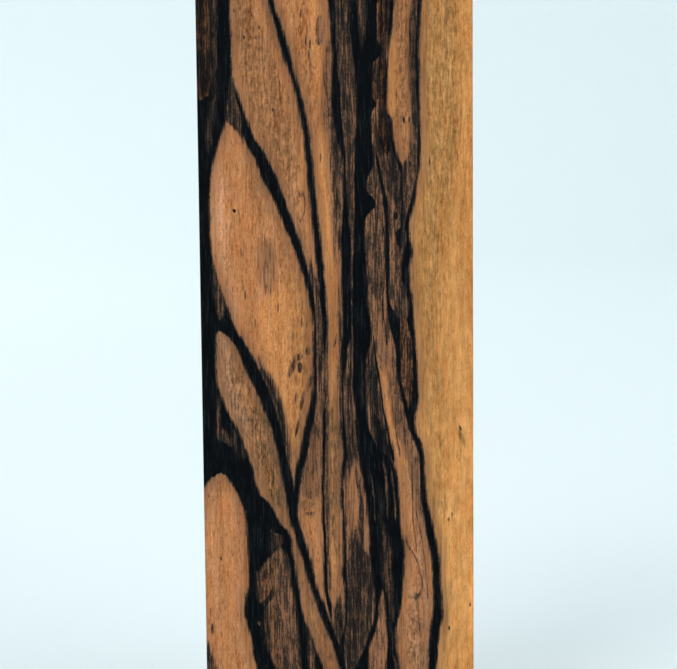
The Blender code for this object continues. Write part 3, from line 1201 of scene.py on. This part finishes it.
def in_threes(marks: list[Mark]) -> Iterator[list[Mark]]:
    """Splits marks into threes, and repeats the last one where the last three falls short.

    Args:
        marks: The marks.

    Yields:
        Three of them at a time.
    """
    for start in range(0, len(marks), 3):
        trio = marks[start:start + 3]
        yield trio + trio[-1:] * (3 - len(trio))


class FigureWriter:
    """Writes the marks of the figure into a node tree, three marks at a time in the parts of one vector.

    Fibres fray the edges of the marks, wander moves them sideways and bleed along the grain, each as far as
    its reach in millimetres.
    """

    fibres = Grain(4.0, 0.18)
    wander = Grain(0.3, 0.35)
    wander_reach = 0.3
    bleed = Grain(2.4, 0.15, shift=40.0)
    bleed_reach = 0.5
    spot_fray = 1.2

    def __init__(self, graph: Graph, across: Signal, down: Signal, depth: Signal) -> None:
        """Writes what all the marks share: where a point lies, and the fibres' noise, which frays the edges.

        Args:
            graph: The tree to write into.
            across: Where across the figure.
            down: Where along the figure.
            depth: How far behind the show face.
        """
        self.graph = graph
        fibre = graph.grain(self.fibres, across, down, depth)
        self.across = across + graph.grain(self.wander, across, down, depth) * self.wander_reach
        self.level = down + graph.grain(self.bleed, across, down, depth) * self.bleed_reach
        self.ink_insides: list[Signal] = []
        self.place3 = graph.triple(self.across)
        self.level3 = graph.triple(self.level)
        self.fibre3 = graph.triple(fibre)
        self.rim3 = graph.triple(depth * depth * (1.0 / SPOT_DEPTH ** 2) + fibre * self.spot_fray)

    def bands(self, trio: list[Band]) -> Signal:
        """Writes three bands.

        Args:
            trio: The bands.

        Returns:
            A vector with each band's strength inside it, and nought outside.
        """
        graph = self.graph
        lines = [band.closed() for band in trio]
        lefts = ([(level, left) for level, left, _ in line] for line in lines)
        rights = ([(level, right) for level, _, right in line] for line in lines)
        left = graph.curves("ShaderNodeVectorCurve", self.level3, *lefts)
        right = graph.curves("ShaderNodeVectorCurve", self.level3, *rights)
        past_left = graph.vector("SUBTRACT", self.place3, left)
        short_of_right = graph.vector("SUBTRACT", right, self.place3)
        inside = graph.vector("MINIMUM", past_left, short_of_right)
        inside = graph.vector("MULTIPLY_ADD", self.fibre3, tuple(band.fray for band in trio), inside)
        if trio[0].tone is Tone.INK:
            self.ink_insides.append(inside)
        low = tuple(-band.soft - band.grow for band in trio)
        high = tuple(band.soft - band.grow for band in trio)
        return graph.vector_ramp(inside, low, high, tuple(band.strength for band in trio))

    def spots(self, trio: list[Spot]) -> Signal:
        """Writes three spots.

        Args:
            trio: The spots.

        Returns:
            A vector with each spot's strength at its middle, and nought outside it.
        """
        graph = self.graph

        def scaled(value: Signal, middles: list[float], halves: list[float]) -> Signal:
            """How far from each spot's middle, in half widths or half lengths."""
            shifts = tuple(-middle / half for middle, half in zip(middles, halves))
            return graph.vector("MULTIPLY_ADD", value, tuple(1 / half for half in halves), shifts)

        level = scaled(self.level3, [s.down for s in trio], [s.half_length for s in trio])
        place = scaled(self.place3, [s.across for s in trio], [s.half_width for s in trio])
        leans = tuple(-s.lean * s.half_length / s.half_width for s in trio)
        place = graph.vector("MULTIPLY_ADD", level, leans, place)
        reach = graph.vector("MULTIPLY_ADD", place, place, self.rim3)
        reach = graph.vector("MULTIPLY_ADD", level, level, reach)
        outer = tuple((1 + s.soft) ** 2 for s in trio)
        inner = tuple((1 - s.soft) ** 2 for s in trio)
        return graph.vector_ramp(reach, outer, inner, tuple(s.strength for s in trio))

    def mask(self, tone: Tone) -> Signal:
        """The strongest mark of one tone at each point.

        Args:
            tone: Which tone.

        Returns:
            The mask.
        """

        def order(band: Band) -> tuple[bool, float]:
            """Short bands before long ones, and then from the top down."""
            first, last = band.stations[0][0], band.stations[-1][0]
            return (last - first > LONG_BAND, first)

        bands = sorted((band for band in FIGURE if band.tone is tone), key=order)
        trios = [self.bands(trio) for trio in in_threes(bands)]
        trios += [self.spots(trio) for trio in in_threes([spot for spot in MARKS if spot.tone is tone])]
        return self.largest(trios)

    def largest(self, trios: list[Signal]) -> Signal:
        """Finds the largest of all the parts of some vectors.

        Args:
            trios: The vectors.

        Returns:
            The largest part.
        """
        strongest = trios[0]
        for trio in trios[1:]:
            strongest = self.graph.vector("MAXIMUM", strongest, trio)
        first, second, third = self.graph.split(strongest)
        return first.at_least(second).at_least(third)

    def halo(self) -> Signal:
        """The haze beside the ink, which is written after the ink's own mask."""
        return self.largest(self.ink_insides).ramp(-HALO_WIDTH, 0.0, 0.0, HALO)


class WoodGroups:
    """The node groups that both finishes of the wood share."""

    where = ("Across", "Down", "Depth")

    # How the figure drifts with depth, across and along the grain: evenly, with a slow sway, and on a slant
    even_drift = (0.28, 0.5)
    sway_drift = (1.2, 1.4)
    sway_grain = (0.03, 0.045, 0.018)
    slant_grain = (0.012, 0.03)
    slant_place = 7.0

    # The fine structure: how its lines lean, the streaks by name, and the noise behind lines and behind the
    # pale dust and painted sheen on the ink
    lean = Grain(0.1, 0.05)
    lean_reach = 0.8
    grains = {
        "Broad": Grain(0.35, 0.045, 2.0, 0.5),
        "Streak": Grain(1.4, 0.08, 3.0, 0.65),
        "Hair": Grain(4.2, 0.34, 3.0, 0.7),
        "Speck": Grain(5.0, 2.4, 1.0, 0.6, 30.0),
        "Mottle": Grain(2.3, 0.85, 3.0, 0.65, 45.0),
        "Patch": Grain(1.0, 0.45, 2.0, 0.55, 120.0),
        "Vein": Grain(1.7, 0.06, 2.0, 0.6, 75.0),
        "Hue": Grain(1.3, 0.22, 2.0, 0.6, 60.0),
    }
    lines = Grain(1.3, 0.05, shift=15.0)
    line_width = 0.045
    dust_and_sheen = Grain(5.0, 0.22, 2.0, 0.6, 90.0)
    dust_and_sheen_rise = 0.3
    dust_body = 0.5
    dust_and_sheen_fray = 2.5

    # How the vessels and the flecks are scattered, and where each fades out and is whole
    vessels = Grain(2.8, 0.65)
    vessel_rim = (0.32, 0.14)
    flecks = Grain(1.7, 0.75, shift=9.0)
    fleck_rim = (0.3, 0.16)

    # How much stain adds to the haze beside the ink, and how softly the honey-coloured wood begins
    stain_in_haze = 0.7
    honey_edge = 1.0

    def __init__(self) -> None:
        """Builds them in the order in which they use each other."""
        self.space = self.build_space()
        self.figure = self.build_figure()
        self.fibre = self.build_fibre()

    def build_space(self) -> Group:
        """Where a point of the block lies in the figure.

        Returns:
            A group that turns the object's own coordinates into across, down and depth in millimetres. With
            depth the figure drifts sideways and along the grain, by nothing at the show face.
        """
        group = Group(
            "ebony_space",
            "ShaderNodeTree",
            {"Position": "NodeSocketVector", **numbers("Half Width", "Half Thickness")},
            numbers(*self.where),
        )
        graph = group.graph
        x, y, z = graph.split(group.given("Position"))
        across = (x + group.given("Half Width")) * MM
        depth = (y + group.given("Half Thickness")) * MM
        down = (PICTURE_TOP - z) * MM
        scaled = (value * share for value, share in zip((across, depth, down), self.sway_grain))
        sway = graph.noise(graph.join(*scaled), 1.0)
        scaled = (value * share for value, share in zip((down, depth), self.slant_grain))
        slant = graph.noise(graph.join(*scaled, self.slant_place), 0.0)
        sways = [sway * drift for drift in self.sway_drift]
        group.give("Across", across + depth * (sways[0] + slant + self.even_drift[0]))
        group.give("Down", down + depth * (sways[1] + self.even_drift[1]))
        group.give("Depth", depth)
        return group

    def build_figure(self) -> Group:
        """The masses of ink, of soaked wood and of shadows.

        Returns:
            A group that puts out how black the wood is, how deeply it is soaked, how red, dark, pink and
            clean it is, where flecks crowd, and where the honey-coloured wood begins.
        """
        plain = (Tone.SHADE, Tone.ROSE, Tone.AMBER, Tone.FLECK)
        outputs = numbers("Ink", "Soak", "Russet", *(tone.value for tone in plain), "Honey")
        group = Group("ebony_figure", "ShaderNodeTree", numbers(*self.where), outputs)
        graph = group.graph
        writer = FigureWriter(graph, *(group.given(name) for name in self.where))
        ink = writer.mask(Tone.INK) * (1.0 - writer.mask(Tone.WINDOW))
        russet = writer.mask(Tone.RUSSET)
        group.give("Ink", ink)
        stain = writer.mask(Tone.STAIN)
        haze = writer.halo() + stain * self.stain_in_haze
        group.give("Soak", ink.at_least(stain).at_least(russet).at_least(haze))
        group.give("Russet", russet)
        for tone in plain:
            group.give(tone.value, writer.mask(tone))
        edge = [(level, right) for level, _, right in RIGHT_LINE[0].stations]
        right_edge = graph.curves("ShaderNodeFloatCurve", writer.level, edge)
        group.give("Honey", (writer.across - right_edge).ramp(-self.honey_edge, self.honey_edge))
        return group

    def build_fibre(self) -> Group:
        """The fine structure of the wood.

        Returns:
            A group that puts out streaks along the grain, from broad to short, a drift of hue, pores, flecks
            and the pale streaks on the ink, partly the powder that sanding leaves there and partly a painted
            sheen on its scratches, each as a value about nought or a mask.
        """
        outputs = numbers(*self.grains, "Line", "Pore", "Fleck", "Dust And Sheen")
        group = Group("ebony_fibre", "ShaderNodeTree", numbers(*self.where), outputs)
        graph = group.graph
        across, down, depth = (group.given(name) for name in self.where)
        fine = across + graph.grain(self.lean, across, down, depth) * self.lean_reach
        kinds = {name: graph.grain(cut, fine, down, depth) for name, cut in self.grains.items()}
        for name, value in kinds.items():
            group.give(name, value)
        line = graph.math("ABSOLUTE", graph.grain(self.lines, fine, down, depth))
        group.give("Line", line.ramp(self.line_width, 0.0))
        vessels = graph.cells(graph.drawn_out(self.vessels, fine, down, depth))
        group.give("Pore", vessels.ramp(*self.vessel_rim))
        flecks = graph.cells(graph.drawn_out(self.flecks, fine, down, depth))
        group.give("Fleck", flecks.ramp(*self.fleck_rim))
        # Pale streaks on the ink: sanding dust and a painted sheen on its scratches
        dust_and_sheen = graph.grain(self.dust_and_sheen, fine, down, depth).ramp(0.0, self.dust_and_sheen_rise)
        frayed = (kinds["Hair"] + kinds["Speck"]) * self.dust_and_sheen_fray
        group.give("Dust And Sheen", dust_and_sheen * (self.dust_body + frayed))
        return group


def weighed(values: dict[str, Signal], weights: dict[str, float]) -> Signal:
    """Adds up some values, each as often as its weight says.

    Args:
        values: All the values by name.
        weights: The weight of each that counts.

    Returns:
        The sum.
    """
    first, *others = (values[name] * weight for name, weight in weights.items())
    return sum(others, first)


@dataclass(frozen=True)
class WoodFinish:
    """How one kind of cut through the wood looks."""

    name: str
    brightness: float
    roughness: float
    ink_roughness: float
    streaks: float
    relief: float

    # The colours of the wood, of the ink, of the pale dust and painted sheen on the ink, and of the pores
    pale = shade(184, 121, 77)
    honey = shade(197, 136, 78)
    amber = shade(208, 138, 76)
    rose = shade(200, 142, 104)
    murk = shade(156, 112, 86)
    smoke = shade(33, 31, 28)
    ink = shade(3, 6, 9)
    # Pale dust on the ink, mixed with a painted sheen on its sanding scratches
    ink_dust_and_sheen = shade(52, 54, 56)
    pore = shade(92, 56, 34)

    # The gain of red, green and blue in plain wood, and what a unit of shadow, of grain and of hue adds. The
    # grain's tint makes its pale streaks creamier, as a painted sheen on the fibres, and its dark ones more
    # saturated
    unchanged = (1.0, 1.0, 1.0)
    shade_tint = (-1.0, -0.88, -0.78)
    grain_and_sheen_tint = (1.0, 1.2, 1.5)
    hue_tint = (0.35, -0.12, -0.6)

    # How bright the wood's colour is made at levels down the block, to the left and the right of the dark
    # line: darker towards the top
    left_tone = (
        (-17, 0.8), (0, 0.8), (8, 0.78), (16, 0.78), (22, 0.86), (30, 0.96), (36, 0.91), (42, 0.87),
        (55, 0.84), (66, 0.84), (76, 0.88), (94, 0.85), (111, 0.85),
    )
    right_tone = ((-17, 0.77), (0, 0.78), (20, 0.8), (42, 0.86), (66, 0.99), (90, 1.02), (111, 1.0))

    # How much each kind of fibre counts in the wood's streaks, in shadows, in soaked wood and in the relief
    coarse_weights = {"Broad": 0.8, "Streak": 0.75}
    fine_weights = {"Hair": 1.0, "Speck": 0.8, "Mottle": 0.65}
    fleck_mottle = 1.1
    shade_weights = {"Mottle": 3.0, "Hair": 3.0}
    soak_weights = {"Vein": 1.4, "Hair": 2.0, "Speck": 0.8, "Patch": 0.7, "Mottle": 1.1}
    soak_contrast = 4.2
    soak_lines = 1.5
    relief_weights = {"Hair": 0.6, "Pore": -0.8}

    # Between which levels the wood right of the dark line grows calmer, and by how much
    calming = (10.0, 45.0, 0.0, 0.4)

    # How strongly patches and pores show in the pale wood, and what the honey-coloured wood adds to that
    patches = (0.2, 0.6)
    pores = (0.42, -0.2)

    # How strongly flecks show: the scattered ones, and those that strong mottling makes
    scattered_flecks = 0.6
    mottled_flecks = (0.06, 0.32, 0.0, 0.55)

    # How fast soaking makes the wood murky, and how far, and how fast russet wood turns black
    murk_gain = 1.5
    most_murk = 0.6
    russet_gain = 1.3

    # Where soaked wood turns black, the least share of its soaking that the fibres leave, how steeply the
    # ink covers the wood, and the most of the pale dust and painted sheen that lies on the ink
    blackening = (0.72, 1.0)
    least_soak = 0.4
    cover_power = 2.2
    most_dust_and_sheen = 0.4

    specular = 0.03
    hair_roughness = 0.1
    relief_depth = 0.0001

    def make(self, groups: WoodGroups, half_width: float, half_thickness: float) -> bpy.types.Material:
        """Builds the material.

        Args:
            groups: The wood's shared node groups.
            half_width: Half of the block's width.
            half_thickness: Half of its thickness.

        Returns:
            The material.
        """
        material = bpy.data.materials.new(self.name)
        material.use_nodes = True
        material.node_tree.nodes.clear()
        graph = Graph(material.node_tree)
        place = graph.node("ShaderNodeTexCoord")
        position = graph.signal(place.outputs["Object"])
        halves = {"Half_Width": half_width, "Half_Thickness": half_thickness}
        spot = self.outputs(graph, groups.space.place(graph, Position=position, **halves))
        figure = self.outputs(graph, groups.figure.place(graph, **spot))
        fibre = self.outputs(graph, groups.fibre.place(graph, **spot))
        ink = figure["Ink"]
        wood = self.bare_wood(graph, figure, fibre, spot["Down"])
        wood = self.soaked_wood(graph, figure, fibre, wood)
        wood = graph.scale_colour(wood, self.brightness)

        shader = graph.node("ShaderNodeBsdfPrincipled")
        graph.feed(shader.inputs["Base Color"], wood)
        rough = self.roughness + (self.ink_roughness - self.roughness) * ink
        graph.feed(shader.inputs["Roughness"], rough + fibre["Hair"] * self.hair_roughness)
        shader.inputs["Specular IOR Level"].default_value = self.specular
        bump = graph.node("ShaderNodeBump")
        bump.inputs["Strength"].default_value = self.relief
        bump.inputs["Distance"].default_value = self.relief_depth
        graph.feed(bump.inputs["Height"], weighed(fibre, self.relief_weights))
        graph.feed(shader.inputs["Normal"], graph.signal(bump.outputs["Normal"]))
        output = graph.node("ShaderNodeOutputMaterial")
        graph.feed(output.inputs["Surface"], graph.signal(shader.outputs["BSDF"]))
        return material

    @staticmethod
    def outputs(graph: Graph, node: bpy.types.Node) -> dict[str, Signal]:
        """A node's outputs by name."""
        return {socket.name: graph.signal(socket) for socket in node.outputs}

    def bare_wood(
        self, graph: Graph, figure: dict[str, Signal], fibre: dict[str, Signal], down: Signal,
    ) -> Signal:
        """The colour of wood that holds no ink.

        Args:
            graph: The material's tree.
            figure: The figure's masks.
            fibre: The fine structure.
            down: Where along the figure.

        Returns:
            The colour.
        """
        left_tone = graph.curves("ShaderNodeFloatCurve", down, list(self.left_tone))
        right_tone = graph.curves("ShaderNodeFloatCurve", down, list(self.right_tone))
        tone = left_tone + (right_tone - left_tone) * figure["Honey"]
        wood = graph.blend(figure["Honey"], self.pale, self.honey)
        wood = graph.blend(figure["Amber"], wood, self.amber)
        wood = graph.blend(figure["Rose"], wood, self.rose)
        wood = graph.scale_colour(wood, tone)
        dim = figure["Shade"] * (1.0 - weighed(fibre, self.shade_weights))
        gain = graph.vector("MULTIPLY_ADD", graph.triple(dim), self.shade_tint, self.unchanged)
        wood = graph.vector("MULTIPLY", wood, gain)
        fine = weighed(fibre, self.fine_weights) + fibre["Mottle"] * figure["Fleck"] * self.fleck_mottle
        calm = figure["Honey"] * down.ramp(*self.calming)
        grain = weighed(fibre, self.coarse_weights) + fine * (1.0 - calm)
        grain = grain + fibre["Patch"] * (figure["Honey"] * self.patches[1] + self.patches[0])
        grain = graph.triple(grain * self.streaks)
        # The grain's own streaks, with a painted sheen whitening the paler ones
        gain = graph.vector("MULTIPLY_ADD", grain, self.grain_and_sheen_tint, self.unchanged)
        gain = graph.vector("MULTIPLY_ADD", graph.triple(fibre["Hue"]), self.hue_tint, gain)
        wood = graph.vector("MULTIPLY", wood, gain)
        scattered = fibre["Fleck"] * self.scattered_flecks
        flecks = scattered.at_least(fibre["Mottle"].ramp(*self.mottled_flecks)) * figure["Fleck"]
        pores = fibre["Pore"] * (figure["Honey"] * self.pores[1] + self.pores[0])
        return graph.blend(pores.at_least(flecks), wood, self.pore)

    def soaked_wood(
        self, graph: Graph, figure: dict[str, Signal], fibre: dict[str, Signal], wood: Signal,
    ) -> Signal:
        """Lays the ink over the wood, as deep as it has soaked in.

        Args:
            graph: The material's tree.
            figure: The figure's masks.
            fibre: The fine structure.
            wood: The colour without ink.

        Returns:
            The colour with ink.
        """
        soak, russet = figure["Soak"], figure["Russet"]
        murkiness = (soak * self.murk_gain).at_most(self.most_murk)
        wood = graph.blend(murkiness * (1.0 - russet), wood, self.murk)
        mottle = weighed(fibre, self.soak_weights) * self.soak_contrast + fibre["Line"] * self.soak_lines
        least = soak * self.least_soak
        soak = (soak + mottle * soak * (1.0 - soak)).at_least(least).at_most(least + (1.0 - self.least_soak))
        cover = 1.0 - graph.math("POWER", 1.0 - soak, self.cover_power)
        # The ink, paled by dust and by a painted sheen on its scratches
        black = graph.blend(fibre["Dust And Sheen"].at_most(self.most_dust_and_sheen), self.ink, self.ink_dust_and_sheen)
        blackness = soak.ramp(*self.blackening).at_least(russet * self.russet_gain).at_most(1.0)
        return graph.blend(cover, wood, graph.blend(blackness, self.smoke, black))


SANDED = WoodFinish(
    "sanded_ebony", brightness=1.0, roughness=0.55, ink_roughness=0.42, streaks=1.0, relief=0.35,
)
SAWN = WoodFinish(
    "sawn_ebony_end", brightness=0.68, roughness=0.75, ink_roughness=0.6, streaks=0.8, relief=0.8,
)


@dataclass
class Block:
    """The block's outline: a long box with eased arrises, which Geometry Nodes make from the solid's box.

    The blade's middle is counted from the middle of an end, in blade radii. The three kinds of grain say how
    fine the noise is along each of the block's three ways.
    """

    arris: float = 0.00045
    arris_wear: float = 0.00015
    arris_cells: int = 4
    cell_across: float = 0.0004
    cell_along: float = 0.0009
    kerf_pitch: float = 0.0022
    kerf_depth: float = 0.00006
    blade_radius: float = 0.125
    blade_middle: tuple[float, float] = (-0.8, 0.6)
    hollow: float = 0.00003
    wear_grain: Triple = (60.0, 60.0, 90.0)
    waver_grain: Triple = (300.0, 300.0, 20.0)
    waver_reach: float = 3.0
    ripple_grain: Triple = (110.0, 110.0, 45.0)
    end_steepness: float = 0.7

    def build(self, sanded: bpy.types.Material, sawn: bpy.types.Material) -> bpy.types.Object:
        """Makes the mesh.

        Args:
            sanded: The finish of the four long faces.
            sawn: The finish of the two ends.

        Returns:
            The finished block as a plain mesh.
        """
        low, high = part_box(NODE)
        size = high - low
        centre = (low + high) / 2
        group = self.outline_tree()
        carrier = bpy.data.objects.new("block_carrier", bpy.data.meshes.new("block_carrier"))
        bpy.context.scene.collection.objects.link(carrier)
        modifier = carrier.modifiers.new("outline", "NODES")
        modifier.node_group = group.tree
        values = {
            "Size": size,
            "Centre": centre,
            "Cells Across": round(size.x / self.cell_across),
            "Cells Deep": round(size.y / self.cell_across),
            "Cells Along": round(size.z / self.cell_along),
            "Arris": self.arris,
            "Arris Wear": self.arris_wear,
            "Arris Cells": self.arris_cells,
            "Kerf Pitch": self.kerf_pitch,
            "Kerf Depth": self.kerf_depth,
            "Blade Radius": self.blade_radius,
            "Hollow": self.hollow,
            "Sanded": sanded,
            "Sawn": sawn,
        }
        for item in group.tree.interface.items_tree:
            if item.in_out == "INPUT" and item.name in values:
                modifier[item.identifier] = values[item.name]
        evaluated = carrier.evaluated_get(bpy.context.evaluated_depsgraph_get())
        mesh = bpy.data.meshes.new_from_object(evaluated)
        mesh.name = "figured_block"
        bpy.data.objects.remove(carrier, do_unlink=True)
        block = bpy.data.objects.new("figured_block", mesh)
        bpy.context.scene.collection.objects.link(block)
        return block

    def outline_tree(self) -> Group:
        """The Geometry Nodes that make the block.

        Returns:
            A group whose inputs are the block's sizes and its two finishes.
        """
        number, whole = "NodeSocketFloat", "NodeSocketInt"
        group = Group(
            "sawn_block",
            "GeometryNodeTree",
            {
                "Size": "NodeSocketVector", "Centre": "NodeSocketVector",
                "Cells Across": whole, "Cells Deep": whole, "Cells Along": whole,
                "Arris": number, "Arris Wear": number, "Arris Cells": whole,
                "Kerf Pitch": number, "Kerf Depth": number, "Blade Radius": number, "Hollow": number,
                "Sanded": "NodeSocketMaterial", "Sawn": "NodeSocketMaterial",
            },
            {"Geometry": "NodeSocketGeometry"},
        )
        graph = group.graph
        size = graph.split(group.given("Size"))
        cells = [group.given(name) for name in ("Cells Across", "Cells Deep", "Cells Along")]
        arris, wear = group.given("Arris"), group.given("Arris Wear")
        box = graph.node("GeometryNodeMeshCube")
        box.inputs["Size"].default_value = (2.0, 2.0, 2.0)
        for name, count in zip(("Vertices X", "Vertices Y", "Vertices Z"), cells):
            graph.feed(box.inputs[name], count + 1.0)
        here = graph.signal(graph.node("GeometryNodeInputPosition").outputs[0])
        shares = graph.split(here)

        def rough(fineness: Triple, detail: float) -> Signal:
            """Noise that is so fine along each of the block's three ways."""
            scaled = (value * share for value, share in zip(spread, fineness))
            return graph.noise(graph.join(*scaled), detail)

        # The last few cells next to each edge are narrow ones, which make its arris
        widest = arris + wear
        spread = []
        for share, count, extent in zip(shares, cells, size):
            half = extent * 0.5
            kink = 1.0 - group.given("Arris Cells") * 2.0 / count
            reach = graph.math("ABSOLUTE", share)
            flat = reach.at_most(kink) / kink * (half - widest)
            rounded = (reach - kink).at_least(0.0) / (1.0 - kink) * widest
            spread.append(graph.math("SIGN", share) * (flat + rounded))
        halves = [extent * 0.5 for extent in size]

        # Wear makes the arris wider in places
        radius = arris + wear * (rough(self.wear_grain, 2.0) * 2.5).at_most(1.0).at_least(-1.0)
        cores = [half - radius for half in halves]
        inner = [value.at_least(0.0 - core).at_most(core) for value, core in zip(spread, cores)]
        offsets = [value - middle for value, middle in zip(spread, inner)]
        square_x, square_y, square_z = (offset * offset for offset in offsets)
        length = graph.math("SQRT", square_x + square_y + square_z)
        outward = [offset / length.at_least(1e-7) for offset in offsets]

        # The saw leaves shallow arcs on the ends, and sanding leaves slight hollows on the long faces
        blade = group.given("Blade Radius")
        blade_x, blade_y = (value - blade * share for value, share in zip(spread, self.blade_middle))
        swing = graph.math("SQRT", blade_x * blade_x + blade_y * blade_y)
        waver = rough(self.waver_grain, 1.0) * self.waver_reach
        turns = swing / group.given("Kerf Pitch") * (2 * math.pi) + waver
        kerf = graph.math("SINE", turns) * 0.5 + 0.5
        end_share = graph.math("ABSOLUTE", outward[2])
        ripple = rough(self.ripple_grain, 1.0) + 0.5
        sink = kerf * group.given("Kerf Depth") * end_share
        sink = sink + ripple * group.given("Hollow") * (1.0 - end_share)
        places = [middle + direction * (radius - sink) for middle, direction in zip(inner, outward)]
        centre = graph.split(group.given("Centre"))
        new_place = graph.join(*(value + shift for value, shift in zip(places, centre)))

        moved = graph.node("GeometryNodeSetPosition")
        graph.feed(moved.inputs["Geometry"], graph.signal(box.outputs["Mesh"]))
        graph.feed(moved.inputs["Position"], new_place)
        smooth = graph.node("GeometryNodeSetShadeSmooth")
        graph.feed(smooth.inputs["Geometry"], graph.signal(moved.outputs["Geometry"]))
        realized = graph.node("GeometryNodeRealizeInstances")
        graph.feed(realized.inputs["Geometry"], graph.signal(smooth.outputs["Geometry"]))
        long_faces = graph.node("GeometryNodeSetMaterial")
        graph.feed(long_faces.inputs["Geometry"], graph.signal(realized.outputs["Geometry"]))
        graph.feed(long_faces.inputs["Material"], group.given("Sanded"))
        normal = graph.split(graph.signal(graph.node("GeometryNodeInputNormal").outputs[0]))
        steep = graph.node("FunctionNodeCompare", operation="GREATER_THAN")
        graph.feed(steep.inputs[0], graph.math("ABSOLUTE", normal[2]))
        steep.inputs[1].default_value = self.end_steepness
        ends = graph.node("GeometryNodeSetMaterial")
        graph.feed(ends.inputs["Geometry"], graph.signal(long_faces.outputs["Geometry"]))
        graph.feed(ends.inputs["Selection"], graph.signal(steep.outputs[0]))
        graph.feed(ends.inputs["Material"], group.given("Sawn"))
        group.give("Geometry", graph.signal(ends.outputs["Geometry"]))
        return group


@dataclass
class Studio:
    """A pale floor that rises all round into a wall, soft lamps and a pale sky."""

    floor_radius: float = 0.8
    cove_radius: float = 0.5
    wall_height: float = 1.4
    sectors: int = 96
    cove_steps: int = 16
    weld: float = 0.0001
    aim_height: float = 0.06
    floor_roughness: float = 0.9
    floor_shade: Colour = shade(243, 250, 251)
    sky_shade: Colour = shade(235, 248, 255)
    sky_strength: float = 0.45

    # Each lamp's place, the length of its side and its power in watts
    lamps = {
        "key": ((-0.5, -0.75, 0.75), 0.55, 4.6),
        "fill": ((0.65, -0.6, 0.45), 0.6, 3.0),
        "back": ((-0.35, 0.8, 0.8), 0.6, 3.3),
    }

    def build(self) -> None:
        """Makes the floor, the lamps and the sky."""
        self.floor()
        for name, lamp in self.lamps.items():
            self.lamp(name, *lamp)
        world = bpy.data.worlds.new("pale_sky")
        world.use_nodes = True
        sky = world.node_tree.nodes["Background"]
        sky.inputs["Color"].default_value = self.sky_shade
        sky.inputs["Strength"].default_value = self.sky_strength
        bpy.context.scene.world = world

    def floor(self) -> bpy.types.Object:
        """The floor and wall in one turned surface.

        Returns:
            Its object.
        """
        profile = [(0.0, 0.0), (self.floor_radius, 0.0)]
        for step in range(1, self.cove_steps + 1):
            angle = math.pi / 2 * step / self.cove_steps
            profile.append((
                self.floor_radius + self.cove_radius * math.sin(angle),
                self.cove_radius * (1 - math.cos(angle)),
            ))
        profile.append((self.floor_radius + self.cove_radius, self.wall_height))
        shape = bmesh.new()
        points = [shape.verts.new((radius, 0.0, height)) for radius, height in profile]
        edges = [shape.edges.new(pair) for pair in zip(points, points[1:])]
        bmesh.ops.spin(
            shape, geom=points + edges, cent=(0, 0, 0), axis=(0, 0, 1), angle=2 * math.pi,
            steps=self.sectors, use_merge=True,
        )
        bmesh.ops.remove_doubles(shape, verts=shape.verts, dist=self.weld)
        bmesh.ops.recalc_face_normals(shape, faces=shape.faces)
        for face in shape.faces:
            face.smooth = True
        mesh = bpy.data.meshes.new("studio_floor")
        shape.to_mesh(mesh)
        shape.free()
        paint = bpy.data.materials.new("floor_paint")
        paint.use_nodes = True
        shader = paint.node_tree.nodes["Principled BSDF"]
        shader.inputs["Base Color"].default_value = self.floor_shade
        shader.inputs["Roughness"].default_value = self.floor_roughness
        mesh.materials.append(paint)
        floor = bpy.data.objects.new("studio_floor", mesh)
        bpy.context.scene.collection.objects.link(floor)
        return floor

    def lamp(self, name: str, place: Triple, side: float, power: float) -> None:
        """A square soft lamp that looks at the block.

        Args:
            name: The lamp's name.
            place: Where it hangs.
            side: The length of its side.
            power: Its power in watts.
        """
        light = bpy.data.lights.new(name, "AREA")
        light.size = side
        light.energy = power
        lamp = bpy.data.objects.new(name, light)
        lamp.location = place
        aim = Vector((0.0, 0.0, self.aim_height)) - Vector(place)
        lamp.rotation_mode = "QUATERNION"
        lamp.rotation_quaternion = aim.to_track_quat("-Z", "Y")
        bpy.context.scene.collection.objects.link(lamp)


@dataclass
class Viewpoint:
    """The photograph's camera, which looks a little down on the show face."""

    distance: float = 0.300
    aim_across: float = 0.00019
    aim_height: float = 0.0639
    pitch: float = math.radians(7.293)
    roll: float = math.radians(-0.538)
    lens: float = 114.47
    sensor: float = 36.0
    nearest: float = 0.01

    def build(self) -> None:
        """Makes the camera and gives it to the scene."""
        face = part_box(NODE)[0].y
        forward = Vector((0.0, math.cos(self.pitch), -math.sin(self.pitch)))
        data = bpy.data.cameras.new("photograph")
        data.lens = self.lens
        data.sensor_width = self.sensor
        data.clip_start = self.nearest
        camera = bpy.data.objects.new("photograph", data)
        camera.location = Vector((self.aim_across, face, self.aim_height)) - forward * self.distance
        camera.rotation_mode = "QUATERNION"
        camera.rotation_quaternion = forward.to_track_quat("-Z", "Y") @ Quaternion((0, 0, 1), self.roll)
        bpy.context.scene.collection.objects.link(camera)
        bpy.context.scene.camera = camera


def main() -> None:
    """Builds the camera, the studio and the dressed block, in that order."""
    logging.basicConfig(level=logging.INFO, format="%(name)s: %(message)s")
    bpy.context.scene.view_settings.view_transform = "Standard"
    Viewpoint().build()
    LOG.info("camera in place")
    Studio().build()
    LOG.info("studio in place")
    groups = WoodGroups()
    low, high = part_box(NODE)
    half_width, half_thickness = (high.x - low.x) / 2, (high.y - low.y) / 2
    finishes = [finish.make(groups, half_width, half_thickness) for finish in (SANDED, SAWN)]
    block = Block().build(*finishes)
    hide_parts(NODE)
    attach(block, BODY)
    LOG.info("block in place, %d faces", len(block.data.polygons))


if __name__ == "__main__":
    main()
